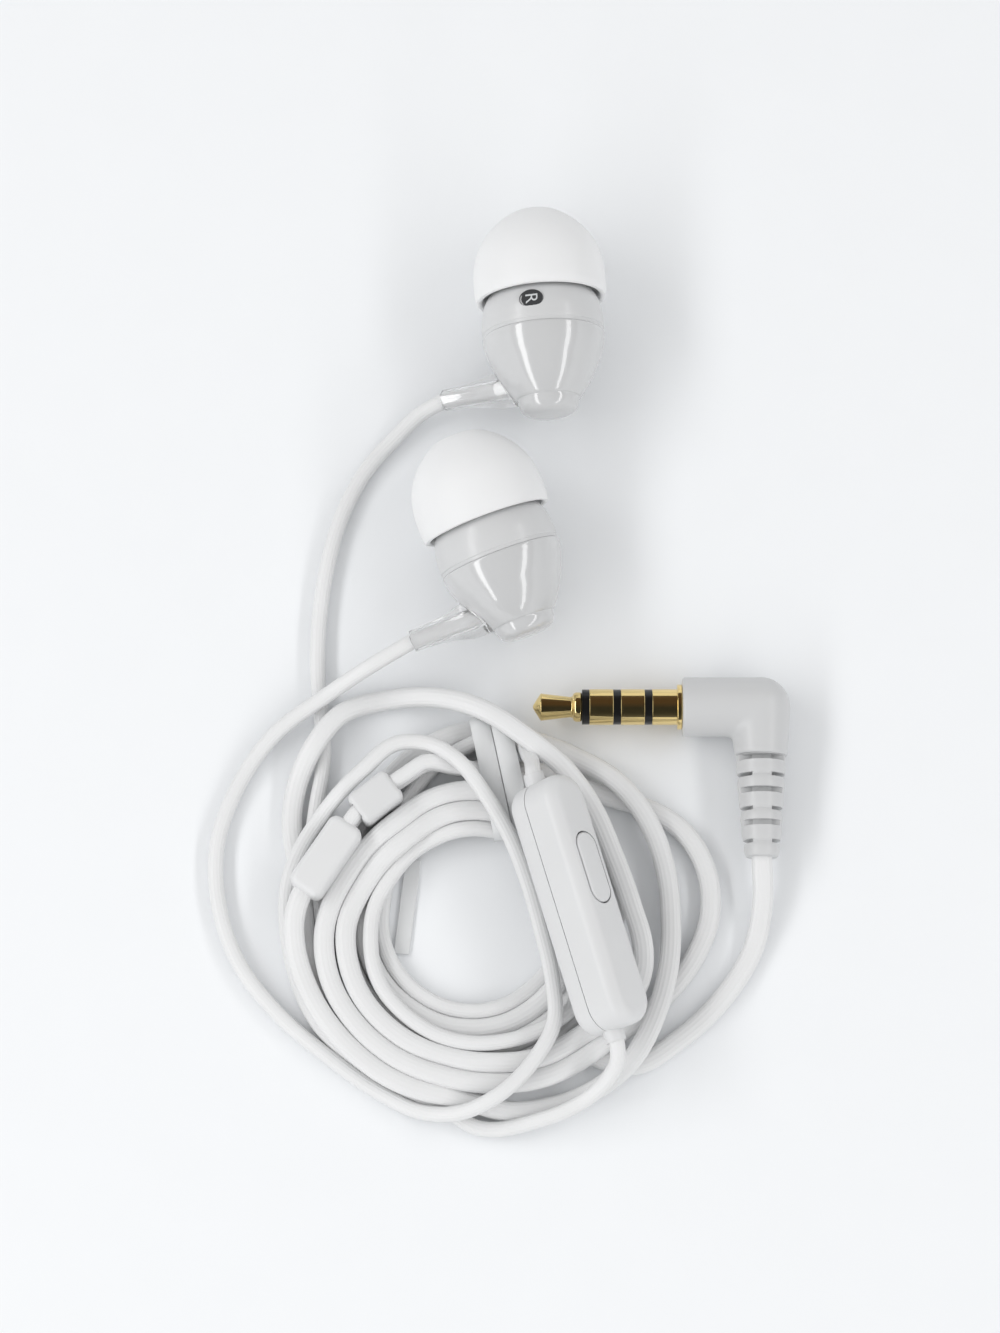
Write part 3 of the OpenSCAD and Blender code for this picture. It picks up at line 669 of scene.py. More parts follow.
def settle(lines, halves, holds, guards):
    """Lets the turns push each other apart, lie down and stay inside the coil and the tie."""
    count = [len(p) for p in lines]
    pts = np.vstack(lines + [np.array([g[:3] for g in guards])])
    wide, tall = (
        np.concatenate([np.full(n, h[k]) for n, h in zip(count, halves)] + [[g[3] for g in guards]])
        for k in (0, 1)
    )
    hold = np.concatenate(list(holds) + [np.ones(len(guards))])
    owner = np.repeat([*range(len(count)), -1], [*count, len(guards)])
    starts = np.concatenate([[0], np.cumsum(count)])
    home = pts.copy()
    free = 1 - hold
    loose = free > 0
    pull = np.where(loose, HOME_PULL[0] + HOME_PULL[1] * hold, 0)[:, None]
    inner = np.zeros(len(pts), bool)
    for first, last in zip(starts[:-1], starts[1:]):
        inner[first + 2 : last - 2] = True
    tie_turn = math.radians(TIE_HEADING)
    tie_along = np.array([math.cos(tie_turn), math.sin(tie_turn)])
    tie_across = np.array([-tie_along[1], tie_along[0]])
    order = np.arange(len(pts))
    wound = hold == 0
    coil = np.array(COIL_AT)
    for step in range(SETTLE_ROUNDS):
        # The pairs of points that may touch
        if step % 8 == 0:
            gap = np.linalg.norm(pts[:, None, :] - pts[None, :, :], axis=2)
            near = gap < (wide[:, None] + wide[None, :] + 1.0)
            later = order[None, :] - order[:, None]
            same = (owner[:, None] == owner[None, :]) & (later < 6)
            firm = ~loose[:, None] & ~loose[None, :]
            first, second = np.nonzero(near & ~same & ~firm & (later > 0))
            reach = wide[first] + wide[second]
            flat = reach / (tall[first] + tall[second])
        # Pairs that overlap push each other apart, square to the cord
        ahead = np.zeros_like(pts)
        ahead[1:-1] = pts[2:] - pts[:-2]
        ahead /= np.linalg.norm(ahead, axis=1)[:, None] + 1e-9
        d = pts[second] - pts[first]
        along = np.sum(d * ahead[first], axis=1)
        square = d - along[:, None] * ahead[first]
        square[:, 2] *= flat
        dist = np.linalg.norm(square, axis=1) + 1e-6
        deep = reach - dist
        hit = (deep > 0) & (np.abs(along) < 0.8)
        weight = free[first] + free[second]
        share = np.where(hit & (weight > 0), deep / np.maximum(weight, 1), 0) * PUSH_SHARE
        push = square / dist[:, None] * share[:, None]
        move = np.zeros_like(pts)
        np.add.at(move, first, -push * free[first][:, None])
        np.add.at(move, second, push * free[second][:, None])
        pts += np.clip(move, -PUSH_MOST, PUSH_MOST)
        # Bends even out, and each point is drawn to its own place and stays off the floor
        bend = np.zeros_like(pts)
        bend[1:-1] = (pts[:-2] + pts[2:]) / 2 - pts[1:-1]
        stiff = np.zeros_like(pts)
        stiff[2:-2] = (bend[1:-3] + bend[3:-1]) / 2 - bend[2:-2]
        pts -= STIFFNESS * stiff * (free * inner)[:, None]
        pts += pull * (home - pts)
        pts[loose, 2] = np.maximum(pts[loose, 2], tall[loose])
        # The turns stay inside the coil and inside the tie
        out = pts[:, :2] - coil
        far = np.linalg.norm(out, axis=1)
        held = np.clip(far, HOLE_R - 0.5 + wide, COIL_R + 0.5)
        pts[wound, :2] = (coil + out * (held / np.maximum(far, 1e-6))[:, None])[wound]
        tied = pts[:, :2] - np.array(TIE_AT)
        under = loose & (np.abs(tied @ tie_along) < TIE_LEN / 2)
        under &= np.abs(tied @ tie_across) < TIE_W + 0.6
        pts[under, 2] = np.clip(pts[under, 2], TIE_T + tall[under], TIE_TOP - TIE_T - tall[under])
    return [pts[s:e] for s, e in zip(starts[:-1], starts[1:])]


def cord_lines():
    """The three cords' centrelines in metres, settled on each other."""
    upper, lower = ([(x, y, z + Y_AT[2] + side * PAIR_Z) for x, y, z in PAIR] for side in (1, -1))
    half = REMOTE_SIZE[0] / 2
    boot_end = (PLUG_AT[0] + ELBOW_X, PLUG_AT[1] - PLUG_DROP - BOOT_LEN, PLUG_AT[2])
    in_boot = (boot_end[0], boot_end[1] + BOOT_LEN, boot_end[2])
    main = [
        ("loose", MAIN_EXIT),
        ("turns", MAIN_FROM_Y),
        ("loose", OUTER_ARC[::-1]),
        ("turns", MAIN_MIDDLE),
        ("loose", FAR_ARC[::-1]),
        ("turns", MAIN_INNER),
        ("loose", TOP_LOOP[::-1]),
        ("turns", MAIN_TO_PLUG),
        ("loose", PLUG_LEAD[::-1] + [boot_end, in_boot]),
    ]
    left = [
        ("loose", [bud_point("left", RELIEF_OUT)] + LEFT_LEAD),
        ("turns", LEFT_OUTER_TURN),
        ("loose", REMOTE_TAIL[::-1] + [remote_point(half + 1)]),
        ("fixed", [remote_point(half), remote_point(0), remote_point(-half)]),
        ("loose", [remote_point(-half - 1)] + REMOTE_TOP_LEAD[::-1]),
        ("turns", LEFT_INNER_TURN),
        ("loose", lower),
    ]
    right = [
        ("loose", [bud_point("right", RELIEF_OUT)] + RIGHT_LEAD),
        ("turns", RIGHT_TURNS),
        ("loose", upper),
    ]
    guards = [(*p, Y_GUARD) for p in block_axis(Y_AT, Y_HEADING, -2.2, 2.3)]
    slider = block_axis(SLIDER_AT, SLIDER_HEADING, -0.4, 0.5 + SLIDER_TRAVEL)
    guards += [(*p, SLIDER_GUARD) for p in slider]
    guards += [(*remote_point(x), REMOTE_GUARD) for x in range(-11, 12)]
    lines, holds = zip(*(thread(stretches) for stretches in (main, left, right)))
    settled = settle(list(lines), (MAIN_HALF, BRANCH_HALF, BRANCH_HALF), holds, guards)
    return [resample(spline(line, 3), POINT_STEP) * MM for line in settled]


def tube(name, line, width, height, sides=22):
    """A closed tube along a line, with a UV map whose first axis runs around it."""
    count = len(line)
    ahead = np.gradient(line, axis=0)
    ahead /= np.linalg.norm(ahead, axis=1)[:, None]
    across = np.cross(ahead, (0, 0, 1.0))
    across /= np.linalg.norm(across, axis=1)[:, None]
    rise = np.cross(across, ahead)
    around = np.arange(sides + 1) / sides
    cos, sin = np.cos(around[:-1] * 2 * math.pi), np.sin(around[:-1] * 2 * math.pi)
    x = np.sign(cos) * np.abs(cos) ** ROUNDNESS * width / 2
    y = np.sign(sin) * np.abs(sin) ** ROUNDNESS * height / 2
    rings = (
        line[:, None, :]
        + x[None, :, None] * across[:, None, :] + y[None, :, None] * rise[:, None, :]
    )
    run = np.concatenate([[0], np.cumsum(np.linalg.norm(np.diff(line, axis=0), axis=1))])
    faces = []
    uv = []
    for i in range(count - 1):
        for k in range(sides):
            a = i * sides + k
            b = i * sides + (k + 1) % sides
            faces.append((a, b, b + sides, a + sides))
            corners = ((k, i), (k + 1, i), (k + 1, i + 1), (k, i + 1))
            uv += [value for u, v in corners for value in (around[u], run[v])]
    faces.append(tuple(reversed(range(sides))))
    faces.append(tuple(range((count - 1) * sides, count * sides)))
    uv += [0.5, 0.5] * (2 * sides)
    mesh = bpy.data.meshes.new(name)
    mesh.from_pydata([tuple(v) for v in rings.reshape(-1, 3)], [], faces)
    mesh.uv_layers.new(name="Along").data.foreach_set("uv", uv)
    mesh.update()
    piece = bpy.data.objects.new(name, mesh)
    bpy.context.collection.objects.link(piece)
    smooth(piece, 50)
    return piece


class EARPHONES_OT_cords(bpy.types.Operator):
    """Lays the main cord and the two branches, wound into the coil"""

    bl_idname = "earphones.cords"
    bl_label = "Cords"

    def execute(self, context):
        size = sizes()
        whole = (size.main_width, size.main_height)
        branch = (size.branch_width, size.branch_width)
        pieces = (
            ("main_cord", whole,
             ("cord_coil", "main_exit", "outer_arc", "far_arc", "top_loop", "plug_lead")),
            ("left_branch", branch, ("left_lead", "remote_tail", "remote_top_lead")),
            ("right_branch", branch, ("right_lead", "branch_pair")),
        )
        for (name, section, nodes), line in zip(pieces, cord_lines()):
            piece = tube(name, line, *section)
            finish(piece, "set", "cord_white", *nodes)
        return {"FINISHED"}


# ---- Buds ----
def ear_tip():
    return lathe(
        "ear_tip",
        [(6.32, 3.75), (6.46, 4.25), (6.5, 5.4), (6.46, 6.6), (6.35, 7.5), (6, 8.7), (5.45, 9.8),
         (4.7, 10.8), (3.8, 11.65), (2.8, 12.35), (2.1, 12.68), (1.85, 12.7), (1.75, 12.55)],
        (1.75, 10.4), (2.8, 10.4),
        [(2.8, 5.3), (3.1, 5.2), (3.6, 5.3)],
        [(3.6, 5.3), (3.62, 7.9), (3.75, 9.1), (4.1, 9.5), (4.6, 9.2), (5.1, 8.5), (5.55, 7.1),
         (5.72, 5.4), (5.72, 4.1), (5.9, 3.74), (6.12, 3.68), (6.32, 3.75)],
    )


def front_housing():
    return lathe(
        "front_housing", (5.9, 0.03),
        [(5.9, 0.34), (5.97, 0.42), (5.99, 0.6), (5.99, 1.1), (5.95, 1.9), (5.78, 2.8), (5.5, 3.6),
         (5, 4.3), (4.3, 4.8), (3.4, 5.08), (2.5, 5.12)],
        [(2.5, 8.3), (2.6, 8.5), (2.72, 8.75), (2.72, 9.2), (2.6, 9.6), (2.4, 10.15), (2.3, 10.2)],
        (1.75, 10.2),
        [(1.75, 4.2), (3.8, 4), (4.8, 3.2), (5, 2.2)],
        (5, 0.03), (5.9, 0.03),
    )


CUP_SIDE = [
    (5.93, 0), (5.99, -0.06), (6, -0.5), (5.88, -1.2), (5.55, -2.3), (5.1, -3.3), (4.5, -4.5),
    (3.9, -5.5), (3.3, -6.3),
]


def relief_bore(radius, depth):
    """A cylinder along the strain relief's axis, to cut with. Sizes in mm."""
    clear_selection()
    bpy.ops.mesh.primitive_cylinder_add(
        vertices=48, radius=radius * MM, depth=depth * MM,
        location=(0, depth / 2 * MM, RELIEF_Z * MM), rotation=(math.pi / 2, 0, 0),
    )
    return bpy.context.object


def rear_cup():
    cup = lathe(
        "rear_cup", (5, 0), CUP_SIDE,
        [(3.3, -6.3), (3.16, -6.42), (3.08, -6.45), (3, -6.58)],
        [(3, -6.58), (2.88, -7.15), (2.62, -7.6), (2.15, -7.9), (1.2, -8.06), (0, -8.1)],
        [(0, -7.3), (2.3, -6.3), (3, -5.2), (4.2, -3.2), (4.9, -1.6), (5, -1)],
        (5, 0),
    )
    carve(cup, relief_bore(1.42, 6))
    smooth(cup, 28)
    return cup


def strain_relief():
    """A clear sleeve that flares to a foot, which is cut to lie on the cup."""
    sleeve = lathe(
        "strain_relief", (0.8, 2.3), (0.8, 11.1),
        [(1.05, 11.1), (1.09, 9.8), (1.17, 8.6), (1.31, 7.5), (1.5, 6.5), (1.72, 5.7), (1.88, 5.1),
         (1.92, 4.6)],
        (1.92, 3), (1.38, 3), (1.38, 2.3), (0.8, 2.3),
    )
    bed = lathe(
        "cup_bed", [(0, 1), (6, 1), (6, 0)], [(r + 0.03, z) for r, z in CUP_SIDE], (0, -8)
    )
    carve(bed, relief_bore(1.4, 12))
    place(bed, turn(90, "X") @ shift(0, 0, -RELIEF_Z))
    carve(sleeve, bed)
    edit_all(sleeve)
    bpy.ops.mesh.bisect(
        plane_co=(0, 0, 10.7 * MM), plane_no=(0.25, 0, 0.97), use_fill=True, clear_outer=True
    )
    bpy.ops.object.mode_set(mode="OBJECT")
    smooth(sleeve, 40)
    return sleeve


def side_mark():
    """An oval pad, narrower along the bud's axis."""
    mark = lathe(
        "side_mark", (0, 0), (1.2, 0),
        [(1.2, 0.42), (1.17, 0.5), (1.05, 0.55), (0.7, 0.6), (0, MARK_TOP)],
    )
    place(mark, Matrix.Diagonal((0.78, 1, 1, 1)))
    return mark


def mark_letter(name, letter):
    clear_selection()
    bpy.ops.object.text_add()
    text = bpy.context.object.data
    text.body = letter
    text.align_x = "CENTER"
    text.align_y = "CENTER"
    text.size = sizes().letter_height * 1.1
    text.extrude = 0.02 * MM
    text.offset = -0.01 * MM
    text.resolution_u = 6
    bpy.ops.object.convert(target="MESH")
    bpy.context.object.name = name
    return bpy.context.object


class EARPHONES_OT_buds(bpy.types.Operator):
    """Models the ear tips, housings, cups, strain reliefs and side marks"""

    bl_idname = "earphones.buds"
    bl_label = "Buds"

    def execute(self, context):
        turned = {
            "ear_tip": (ear_tip(), "silicone_tip"),
            "front_housing": (front_housing(), "white_gloss"),
            "rear_cup": (rear_cup(), "silver_cup"),
            "strain_relief": (strain_relief(), "clear_sleeve"),
            "side_mark": (side_mark(), "mark_grey"),
        }
        for side, bud in BUDS.items():
            lay = bud_matrix(side)
            mark = (
                lay @ turn(bud["mark"], "Z") @ shift(0, 0, MARK_Z)
                @ turn(-90, "Y") @ shift(0, 0, MARK_OUT)
            )
            relief = lay @ shift(0, 0, RELIEF_Z) @ turn(-90, "X")
            where = {"strain_relief": relief, "side_mark": mark}
            for part, (model, slot) in turned.items():
                piece = copied(model, f"{side}_{part}_form")
                place(piece, where.get(part, lay))
                body = f"{side}_tip" if part == "ear_tip" else "set"
                finish(piece, body, slot, f"{side}_{part}")
            letter = mark_letter(f"{side}_letter", bud["letter"])
            place(letter, mark @ shift(0, 0, MARK_TOP - 0.02) @ turn(180, "Z"))
            finish(letter, "set", "mark_grey", material="letter")
        for model, _ in turned.values():
            bpy.data.objects.remove(model)
        return {"FINISHED"}


# ---- Remote ----
class EARPHONES_OT_remote(bpy.types.Operator):
    """Models the remote's two shells and its play button"""

    bl_idname = "earphones.remote"
    bl_label = "Remote"

    def execute(self, context):
        face = REMOTE_SIZE[2] / 2
        whole = block("remote_whole", REMOTE_SIZE, 2.55, 1.3)
        names = ("remote_front_form", "remote_back_form")
        front, back = two_shells(whole, names, REMOTE_SEAM, 0.04, 0.8)
        opening = block("button_opening", (7.3, 3, 4), 1.49, 0.01)
        place(opening, shift(BUTTON_X, 0, 3))
        carve(front, opening)
        button = block("play_button_form", (7, 2.7, 1.25), 1.34, 0.22)
        place(button, shift(BUTTON_X, 0, face + BUTTON_PROUD - 0.625))
        for piece, body, slot, material, node in (
            (front, "set", "white_satin", "remote", "remote_front_shell"),
            (back, "set", "white_satin", "remote", "remote_back_shell"),
            (button, "button", "button_white", "remote_button", "play_button"),
        ):
            smooth(piece, 30)
            place(piece, remote_matrix())
            finish(piece, body, slot, node, material=material)
        return {"FINISHED"}


# ---- Plug ----
def from_plug(x, y):
    """A move to the middle of the pin's root, and on by x and y mm."""
    return Matrix.Translation((Vector(PLUG_AT) + Vector((x, y, 0))) * MM)


def contact_band(name, low, high):
    return lathe(
        name, (BAND_IN, low), (1.72, low), (PIN_R, low + 0.04), (PIN_R, high - 0.04),
        (1.72, high), (BAND_IN, high), (BAND_IN, low),
    )


def soften_elbow(piece):
    """Evens out the mesh and rounds the crease where the two arms meet."""
    modify(piece, "REMESH", mode="VOXEL", voxel_size=ELBOW_MESH * MM)
    corner = from_plug(ELBOW_X - ARM_R, -ARM_R).to_translation()
    near = piece.vertex_groups.new(name="elbow")
    everywhere = piece.vertex_groups.new(name="all")
    for vertex in piece.data.vertices:
        away = (vertex.co - corner).to_2d().length / MM
        near.add([vertex.index], min(1, max(0, ELBOW_REACH - away / ELBOW_REACH)), "REPLACE")
        face = vertex.co.x / MM - PLUG_AT[0] < 1.4
        end = vertex.co.y / MM - PLUG_AT[1] < 0.7 - PLUG_DROP
        everywhere.add([vertex.index], 0.0 if face or end else 1.0, "REPLACE")
    for group, rounds in (("elbow", 90), ("all", 12)):
        modify(piece, "SMOOTH", vertex_group=group, factor=0.5, iterations=rounds)


def bars(name, boxes):
    """Plain bars in one mesh, to cut with. Each is its middle and its size in mm."""
    parts = []
    for middle, size in boxes:
        clear_selection()
        bpy.ops.mesh.primitive_cube_add(
            size=1, location=[c * MM for c in middle], scale=[c * MM for c in size]
        )
        parts.append(bpy.context.object)
    whole = join(parts, name)
    bpy.ops.object.transform_apply(location=True, rotation=True, scale=True)
    return whole


def plug_boot():
    """A tapered boot, cut by turns across its front and back and into its sides."""
    boot = lathe(
        "plug_boot_form", (0, 0),
        [(2.36, 0), (2.38, 1), (2.36, 1.7), (2.3, 1.84)],
        [(2.14, 2.02), (2.2, 2.2), (2.25, 2.4), (2.2, 3.8), (2.1, 5), (2.04, 5.14)],
        [(1.88, 5.32), (1.94, 5.5), (2, 5.7), (1.96, 7), (1.86, 8.1), (1.8, 8.3)],
        [(1.62, 8.48), (1.66, 8.66), (1.7, 8.8), (1.66, 9.6), (1.52, 9.86), (1.35, BOOT_LEN)],
        (0, BOOT_LEN),
    )
    ends = (-1, 1)
    out = BOOT_WEB + 1.5
    sides = [((s * out, 0, v), (3, 6, 0.36)) for v in BOOT_SIDE_SLOTS for s in ends]
    corners = [
        ((s * out, t * 2.5, v), (3, 3.1, BOOT_SLOT))
        for v in BOOT_FRONT_SLOTS for s in ends for t in ends
    ]
    middles = [((0, t * 2.8, v), (1.9, 3, BOOT_SLOT)) for v in BOOT_FRONT_SLOTS for t in ends]
    carve(boot, bars("boot_cut", sides + corners))
    carve(boot, bars("boot_cut", middles))
    place(boot, from_plug(ELBOW_X, -PLUG_DROP) @ turn(90, "X"))
    smooth(boot, 30)
    return boot


def plug_pin():
    """The pin's five pieces along Z from the housing's face, each with its slot and its node."""
    tip = lathe(
        "plug_tip_form", (0, -2.5), (0.5, -2.5), (0.5, 9.25),
        [(1.34, 9.25), (1.42, 9.36), (1.44, 9.6), (1.42, 9.85), (1.3, 10.05), (1.05, 10.2),
         (1, 10.4)],
        [(1.32, 13.1), (1.33, 13.2), (1.26, 13.3)],
        [(0.3, 13.9), (0.14, 13.98), (0, 14)],
    )
    ring_1 = contact_band("plug_ring_1_form", 6.2, 8.5)
    ring_2 = contact_band("plug_ring_2_form", 3.15, 5.45)
    sleeve = lathe(
        "plug_sleeve_form", (BAND_IN, -2.3), (1.55, -2.3), (1.55, -0.5),
        [(2.1, -0.5), (2.18, -0.46), (2.2, -0.36), (2.2, -0.14), (2.18, -0.04), (2.1, 0)],
        (PIN_R, 0), (PIN_R, 2.36), (1.72, 2.4), (BAND_IN, 2.4), (BAND_IN, -2.3),
    )
    core = lathe(
        "plug_insulators_form", (0.52, -2.3), (CORE_R, -2.3),
        (CORE_R, 2.42), (1.71, 2.42), (1.71, 3.13), (CORE_R, 3.13),
        (CORE_R, 5.47), (1.71, 5.47), (1.71, 6.18), (CORE_R, 6.18),
        (CORE_R, 8.52), (1.71, 8.52), (1.71, 9.22), (0.52, 9.22), (0.52, -2.3),
    )
    return (
        (tip, "gold_plating", "plug_tip"),
        (ring_1, "gold_plating", "plug_ring_1"),
        (ring_2, "gold_plating", "plug_ring_2"),
        (sleeve, "gold_plating", "plug_sleeve"),
        (core, "black_insulator", "plug_insulators"),
    )


def plug_housing():
    """Two arms at a right angle, joined and softened."""
    arm = lathe(
        "plug_housing_form", (0, 0.5),
        [(2.6, 0.5), (2.75, 0.53), (2.87, 0.65), (ARM_R, 0.85)],
        (ARM_R, ELBOW_X - 0.1), (0, ELBOW_X - 0.1),
    )
    place(arm, from_plug(0, 0) @ turn(90, "Y"))
    drop = lathe(
        "plug_drop", (0, PLUG_DROP),
        [(2.35, PLUG_DROP), (2.55, PLUG_DROP - 0.05), (2.61, PLUG_DROP - 0.25)],
        [(DROP_R * math.cos(a), -DROP_R * math.sin(a)) for a in np.linspace(0, math.pi / 2, 8)],
    )
    place(drop, from_plug(ELBOW_X, 0) @ turn(90, "X"))
    carve(arm, drop, "UNION")
    soften_elbow(arm)
    smooth(arm, 50)
    return arm


class EARPHONES_OT_plug(bpy.types.Operator):
    """Models the plug's contacts, its angled housing and its boot"""

    bl_idname = "earphones.plug"
    bl_label = "Plug"

    def execute(self, context):
        for piece, slot, node in plug_pin():
            place(piece, from_plug(0, 0) @ turn(180, "Z") @ turn(90, "Y"))
            finish(piece, "set", slot, node)
        finish(plug_housing(), "set", "white_satin", "plug_housing", material="plug")
        finish(plug_boot(), "set", "white_satin", "plug_boot", material="plug")
        return {"FINISHED"}


# ---- Splitter ----
def flat_matrix(at, heading):
    return shift(*at) @ turn(heading, "Z")


class EARPHONES_OT_splitter(bpy.types.Operator):
    """Models the Y's two shells and the slider"""

    bl_idname = "earphones.splitter"
    bl_label = "Y and slider"

    def execute(self, context):
        whole = block("y_whole", Y_SIZE, 0.9, 0.7)
        shells = two_shells(whole, ("y_upper_form", "y_lower_form"), 0, 0.02, 0.7)
        for piece, node in zip(shells, ("y_upper_shell", "y_lower_shell")):
            smooth(piece, 30)
            place(piece, flat_matrix(Y_AT, Y_HEADING))
            finish(piece, "set", "white_satin", node)
        slider = block("cord_slider_form", SLIDER_SIZE, 0.6, 0.55)
        carve(slider, bars("slider_way", [((0, 0, 0), SLIDER_WAY)]))
        smooth(slider, 30)
        place(slider, flat_matrix(SLIDER_AT, SLIDER_HEADING))
        finish(slider, "slider", "white_satin", "cord_slider", material="remote")
        return {"FINISHED"}


# ---- Tie ----
def flat_ring(name, size, corner, width, thick):
    """A strip with a crowned back, bent to a closed ring that stands on its edge. Sizes in mm."""
    clear_selection()
    bpy.ops.mesh.primitive_plane_add(size=1, rotation=(math.pi / 2, 0, 0))
    piece = bpy.context.object
    piece.name = name
    piece.scale = (size[0] * MM, size[1] * MM, 1)
    bpy.ops.object.transform_apply(location=False, rotation=True, scale=True)
    edit_all(piece)
    bpy.ops.mesh.bevel(offset=corner * MM, segments=8, affect="VERTICES")
    bpy.ops.mesh.select_all(action="SELECT")
    bpy.ops.mesh.delete(type="ONLY_FACE")
    bpy.ops.mesh.select_all(action="SELECT")
    for _ in range(6):
        bpy.ops.mesh.extrude_edges_move(TRANSFORM_OT_translate={"value": (0, width / 6 * MM, 0)})
    bpy.ops.mesh.select_all(action="SELECT")
    bpy.ops.transform.translate(value=(0, -width / 2 * MM, 0))
    bpy.ops.mesh.normals_make_consistent(inside=False)
    for share, rise in TIE_CROWN:
        near = share * width * MM
        pick_edges(piece, lambda a, b: max(abs(a.y), abs(b.y)) < near and min(a.z, b.z) > 0)
        bpy.ops.transform.shrink_fatten(value=rise * MM)
    bpy.ops.mesh.select_mode(type="VERT")
    bpy.ops.object.mode_set(mode="OBJECT")
    thicken(piece, thick)
    return piece


class EARPHONES_OT_tie(bpy.types.Operator):
    """Models the flat tie around the coil and its free end"""

    bl_idname = "earphones.tie"
    bl_label = "Tie"

    def execute(self, context):
        pieces = []
        for side in (-1, 1):
            band = flat_ring("tie_band", (TIE_LEN, TIE_TOP), 1.2, TIE_W, TIE_T)
            middle = flat_matrix((*TIE_AT, TIE_TOP / 2), TIE_HEADING)
            place(band, middle @ shift(0, side * (TIE_W / 2 + 0.04), 0))
            pieces.append(band)
        length, heading = 9.4, -97
        free_end = block("tie_free_end", (length, 1.5, TIE_T), 0.1, 0.08)
        place(free_end, flat_matrix((-9.4, -41.6, TIE_T / 2), heading) @ shift(length / 2, 0, 0))
        tie = join(pieces + [free_end], "cord_tie_form")
        smooth(tie, 30)
        finish(tie, "set", "tie_white", "cord_tie")
        return {"FINISHED"}


# ---- Pieces kept as the frame has them ----
class EARPHONES_OT_inner_parts(bpy.types.Operator):
    """Finishes the pieces that keep the frame's own shape"""

    bl_idname = "earphones.inner_parts"
    bl_label = "Inner parts"

    def execute(self, context):
        slots = {p["node"]: p["material_slot"] for p in frame["record"]["subparts"]}
        slots.update(remote_grommets="remote")
        for node, piece in frame["nodes"].items():
            piece.data.materials.clear()
            piece.data.materials.append(FINISHES[slots[node]])
        return {"FINISHED"}


# ---- Stage. Its lengths are in metres, except where they say millimetres ----
PICTURE_HEIGHT = 1333
PIXELS_PER_MM = 10.2
SENSOR_HEIGHT = 36
VIEW_ELEVATION = 78
VIEW_DISTANCE = 450  # millimetres
VIEW_TARGET = (-0.99, -22.45, 0)  # millimetres
LAMP_AT = (0.38, -0.36, 0.36)
LAMP_TURN = 46
LAMP_LENGTH = 1.3
CARD_AT = (0, -1.1, 0.62)
CARD_SIZE = (2.6, 5.07)
CARD_FADE = (-0.18, 0.16)
ROOM_LIGHT = 0.62


def strip_lamp(name, side, power, width):
    data = bpy.data.lights.new(name, "AREA")
    data.shape = "RECTANGLE"
    data.size = width
    data.size_y = LAMP_LENGTH
    data.energy = power
    lamp = bpy.data.objects.new(name, data)
    bpy.context.collection.objects.link(lamp)
    lamp.location = (side * LAMP_AT[0], *LAMP_AT[1:])
    lamp.rotation_euler = (0, side * math.radians(LAMP_TURN), 0)


def dark_ceiling():
    """A dark card over the set, seen only in reflections, so that the metal has its dark bands."""
    clear_selection()
    bpy.ops.mesh.primitive_plane_add(size=1, location=CARD_AT)
    card = bpy.context.object
    card.name = "dark_ceiling"
    card.scale = (*CARD_SIZE, 1)
    bpy.ops.object.transform_apply(location=True, rotation=True, scale=True)
    for ray in ("camera", "diffuse", "shadow", "transmission"):
        setattr(card, "visible_" + ray, False)
    material = bpy.data.materials.new("Ceiling card")
    material.use_nodes = True
    tree = material.node_tree
    glow = tree.nodes["Principled BSDF"]
    fill(glow, {"Base Color": (0, 0, 0, 1), "Emission Strength": 1})
    where = add_node(tree, "TexCoord")
    split = add_node(tree, "SeparateXYZ")
    fade = add_node(tree, "MapRange", From_Min=CARD_FADE[0], From_Max=CARD_FADE[1])
    tone = add_node(
        tree, "Mix", data_type="RGBA", A=(0.001, 0.001, 0.001, 1), B=(0.05, 0.026, 0.01, 1)
    )
    wire(tree, where, "Object", split, "Vector")
    wire(tree, split, "Y", fade, "Value")
    wire(tree, fade, "Result", tone, "Factor")
    wire(tree, tone, "Result", glow, "Emission Color")
    card.data.materials.append(material)


def studio_world(paper):
    """Even white light, while the camera, reflections and clear pieces see the floor's colour."""
    world = bpy.data.worlds.new("Studio")
    world.use_nodes = True
    tree = world.node_tree
    light = fill(tree.nodes["Background"], {"Color": (1, 1, 1, 1), "Strength": ROOM_LIGHT})
    seen = add_node(tree, "Background", Color=paper + (1,), Strength=1)
    path = add_node(tree, "LightPath")
    glossy = add_node(tree, "Math", operation="MAXIMUM")
    either = add_node(tree, "Math", operation="MAXIMUM")
    mix = add_node(tree, "MixShader")
    wire(tree, path, "Is Glossy Ray", glossy, 0)
    wire(tree, path, "Is Transmission Ray", glossy, 1)
    wire(tree, path, "Is Camera Ray", either, 0)
    wire(tree, glossy, "Value", either, 1)
    wire(tree, either, "Value", mix, "Fac")
    wire(tree, light, "Background", mix, 1)
    wire(tree, seen, "Background", mix, 2)
    wire(tree, mix, "Shader", tree.nodes["World Output"], "Surface")
    return world


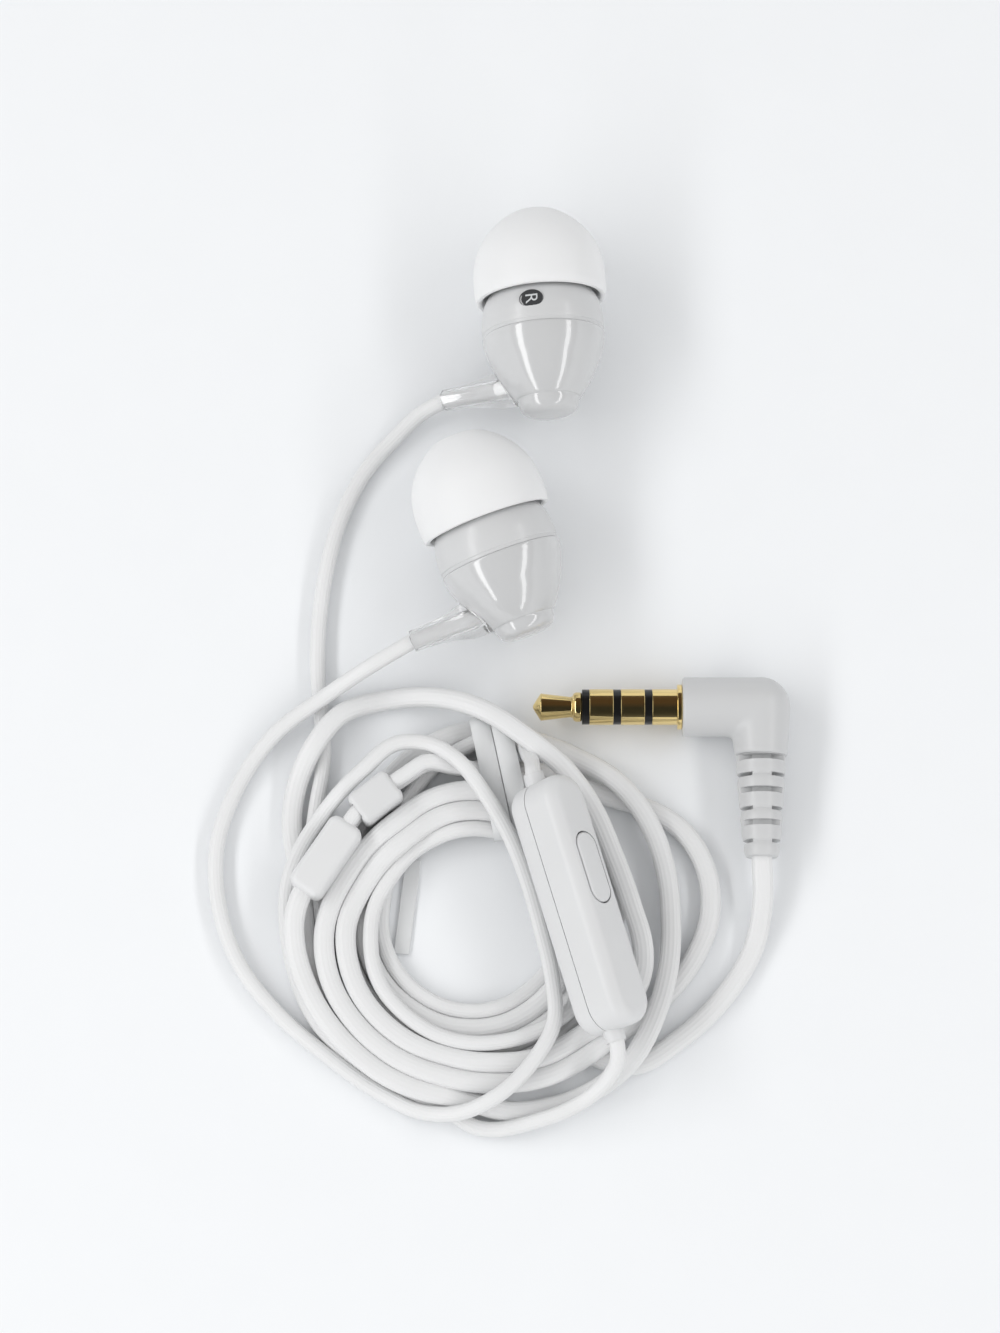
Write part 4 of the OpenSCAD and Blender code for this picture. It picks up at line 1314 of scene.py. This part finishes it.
class EARPHONES_OT_stage(bpy.types.Operator):
    """Sets the camera, the floor, the world and the lamps"""

    bl_idname = "earphones.stage"
    bl_label = "Stage"

    def execute(self, context):
        scene = context.scene
        lens = bpy.data.cameras.new("Camera")
        camera = bpy.data.objects.new("Camera", lens)
        scene.collection.objects.link(camera)
        tilt = math.radians(90 - VIEW_ELEVATION)
        ahead = Vector((0, math.sin(tilt), -math.cos(tilt)))
        camera.location = (Vector(VIEW_TARGET) - ahead * VIEW_DISTANCE) * MM
        camera.rotation_euler = (tilt, 0, 0)
        lens.sensor_fit = "VERTICAL"
        lens.sensor_height = SENSOR_HEIGHT
        lens.lens = SENSOR_HEIGHT * VIEW_DISTANCE * PIXELS_PER_MM / PICTURE_HEIGHT
        lens.clip_start = 0.01
        scene.camera = camera
        scene.view_settings.view_transform = "Standard"

        paper = tuple(colours().floor)
        clear_selection()
        bpy.ops.mesh.primitive_plane_add(size=3)
        floor = context.object
        floor.name = "floor"
        floor.data.materials.append(moulded("Floor paper", paper, 0.8, grain=60, shade=0.01))
        scene.world = studio_world(paper)
        strip_lamp("Left strip", -1, 2.2, 0.11)
        strip_lamp("Right strip", 1, 1.4, 0.08)
        dark_ceiling()
        return {"FINISHED"}


class EARPHONES_OT_declare_cords(bpy.types.Operator):
    """Returns at once and changes nothing"""

    bl_idname = "earphones.declare_cords"
    bl_label = "Declare cords"

    def execute(self, context):
        return {"FINISHED"}


class EARPHONES_PT_panel(bpy.types.Panel):
    bl_label = "Earphones"
    bl_idname = "EARPHONES_PT_panel"
    bl_space_type = "VIEW_3D"
    bl_region_type = "UI"
    bl_category = "Earphones"

    def draw(self, context):
        layout = self.layout
        for name in EarphoneSizes.__annotations__:
            layout.prop(context.scene.earphone_sizes, name)
        for name in EarphoneColours.__annotations__:
            layout.prop(context.scene.earphone_colours, name)
        for operator in STEPS:
            layout.operator(operator.bl_idname)


STEPS = (
    EARPHONES_OT_stage,
    EARPHONES_OT_cords,
    EARPHONES_OT_buds,
    EARPHONES_OT_remote,
    EARPHONES_OT_plug,
    EARPHONES_OT_splitter,
    EARPHONES_OT_tie,
    EARPHONES_OT_inner_parts,
    EARPHONES_OT_declare_cords,
)
CLASSES = (EarphoneSizes, EarphoneColours) + STEPS + (EARPHONES_PT_panel,)


def register():
    for cls in CLASSES:
        bpy.utils.register_class(cls)
    bpy.types.Scene.earphone_sizes = bpy.props.PointerProperty(type=EarphoneSizes)
    bpy.types.Scene.earphone_colours = bpy.props.PointerProperty(type=EarphoneColours)


def unregister():
    del bpy.types.Scene.earphone_sizes
    del bpy.types.Scene.earphone_colours
    for cls in reversed(CLASSES):
        bpy.utils.unregister_class(cls)


def main():
    register()
    build_finishes()
    bpy.ops.earphones.stage()
    bpy.ops.earphones.cords()
    bpy.ops.earphones.buds()
    bpy.ops.earphones.remote()
    bpy.ops.earphones.plug()
    bpy.ops.earphones.splitter()
    bpy.ops.earphones.tie()
    bpy.ops.earphones.inner_parts()
    bpy.ops.earphones.declare_cords()
    clear_selection()
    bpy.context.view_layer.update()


if __name__ == "__main__":
    main()
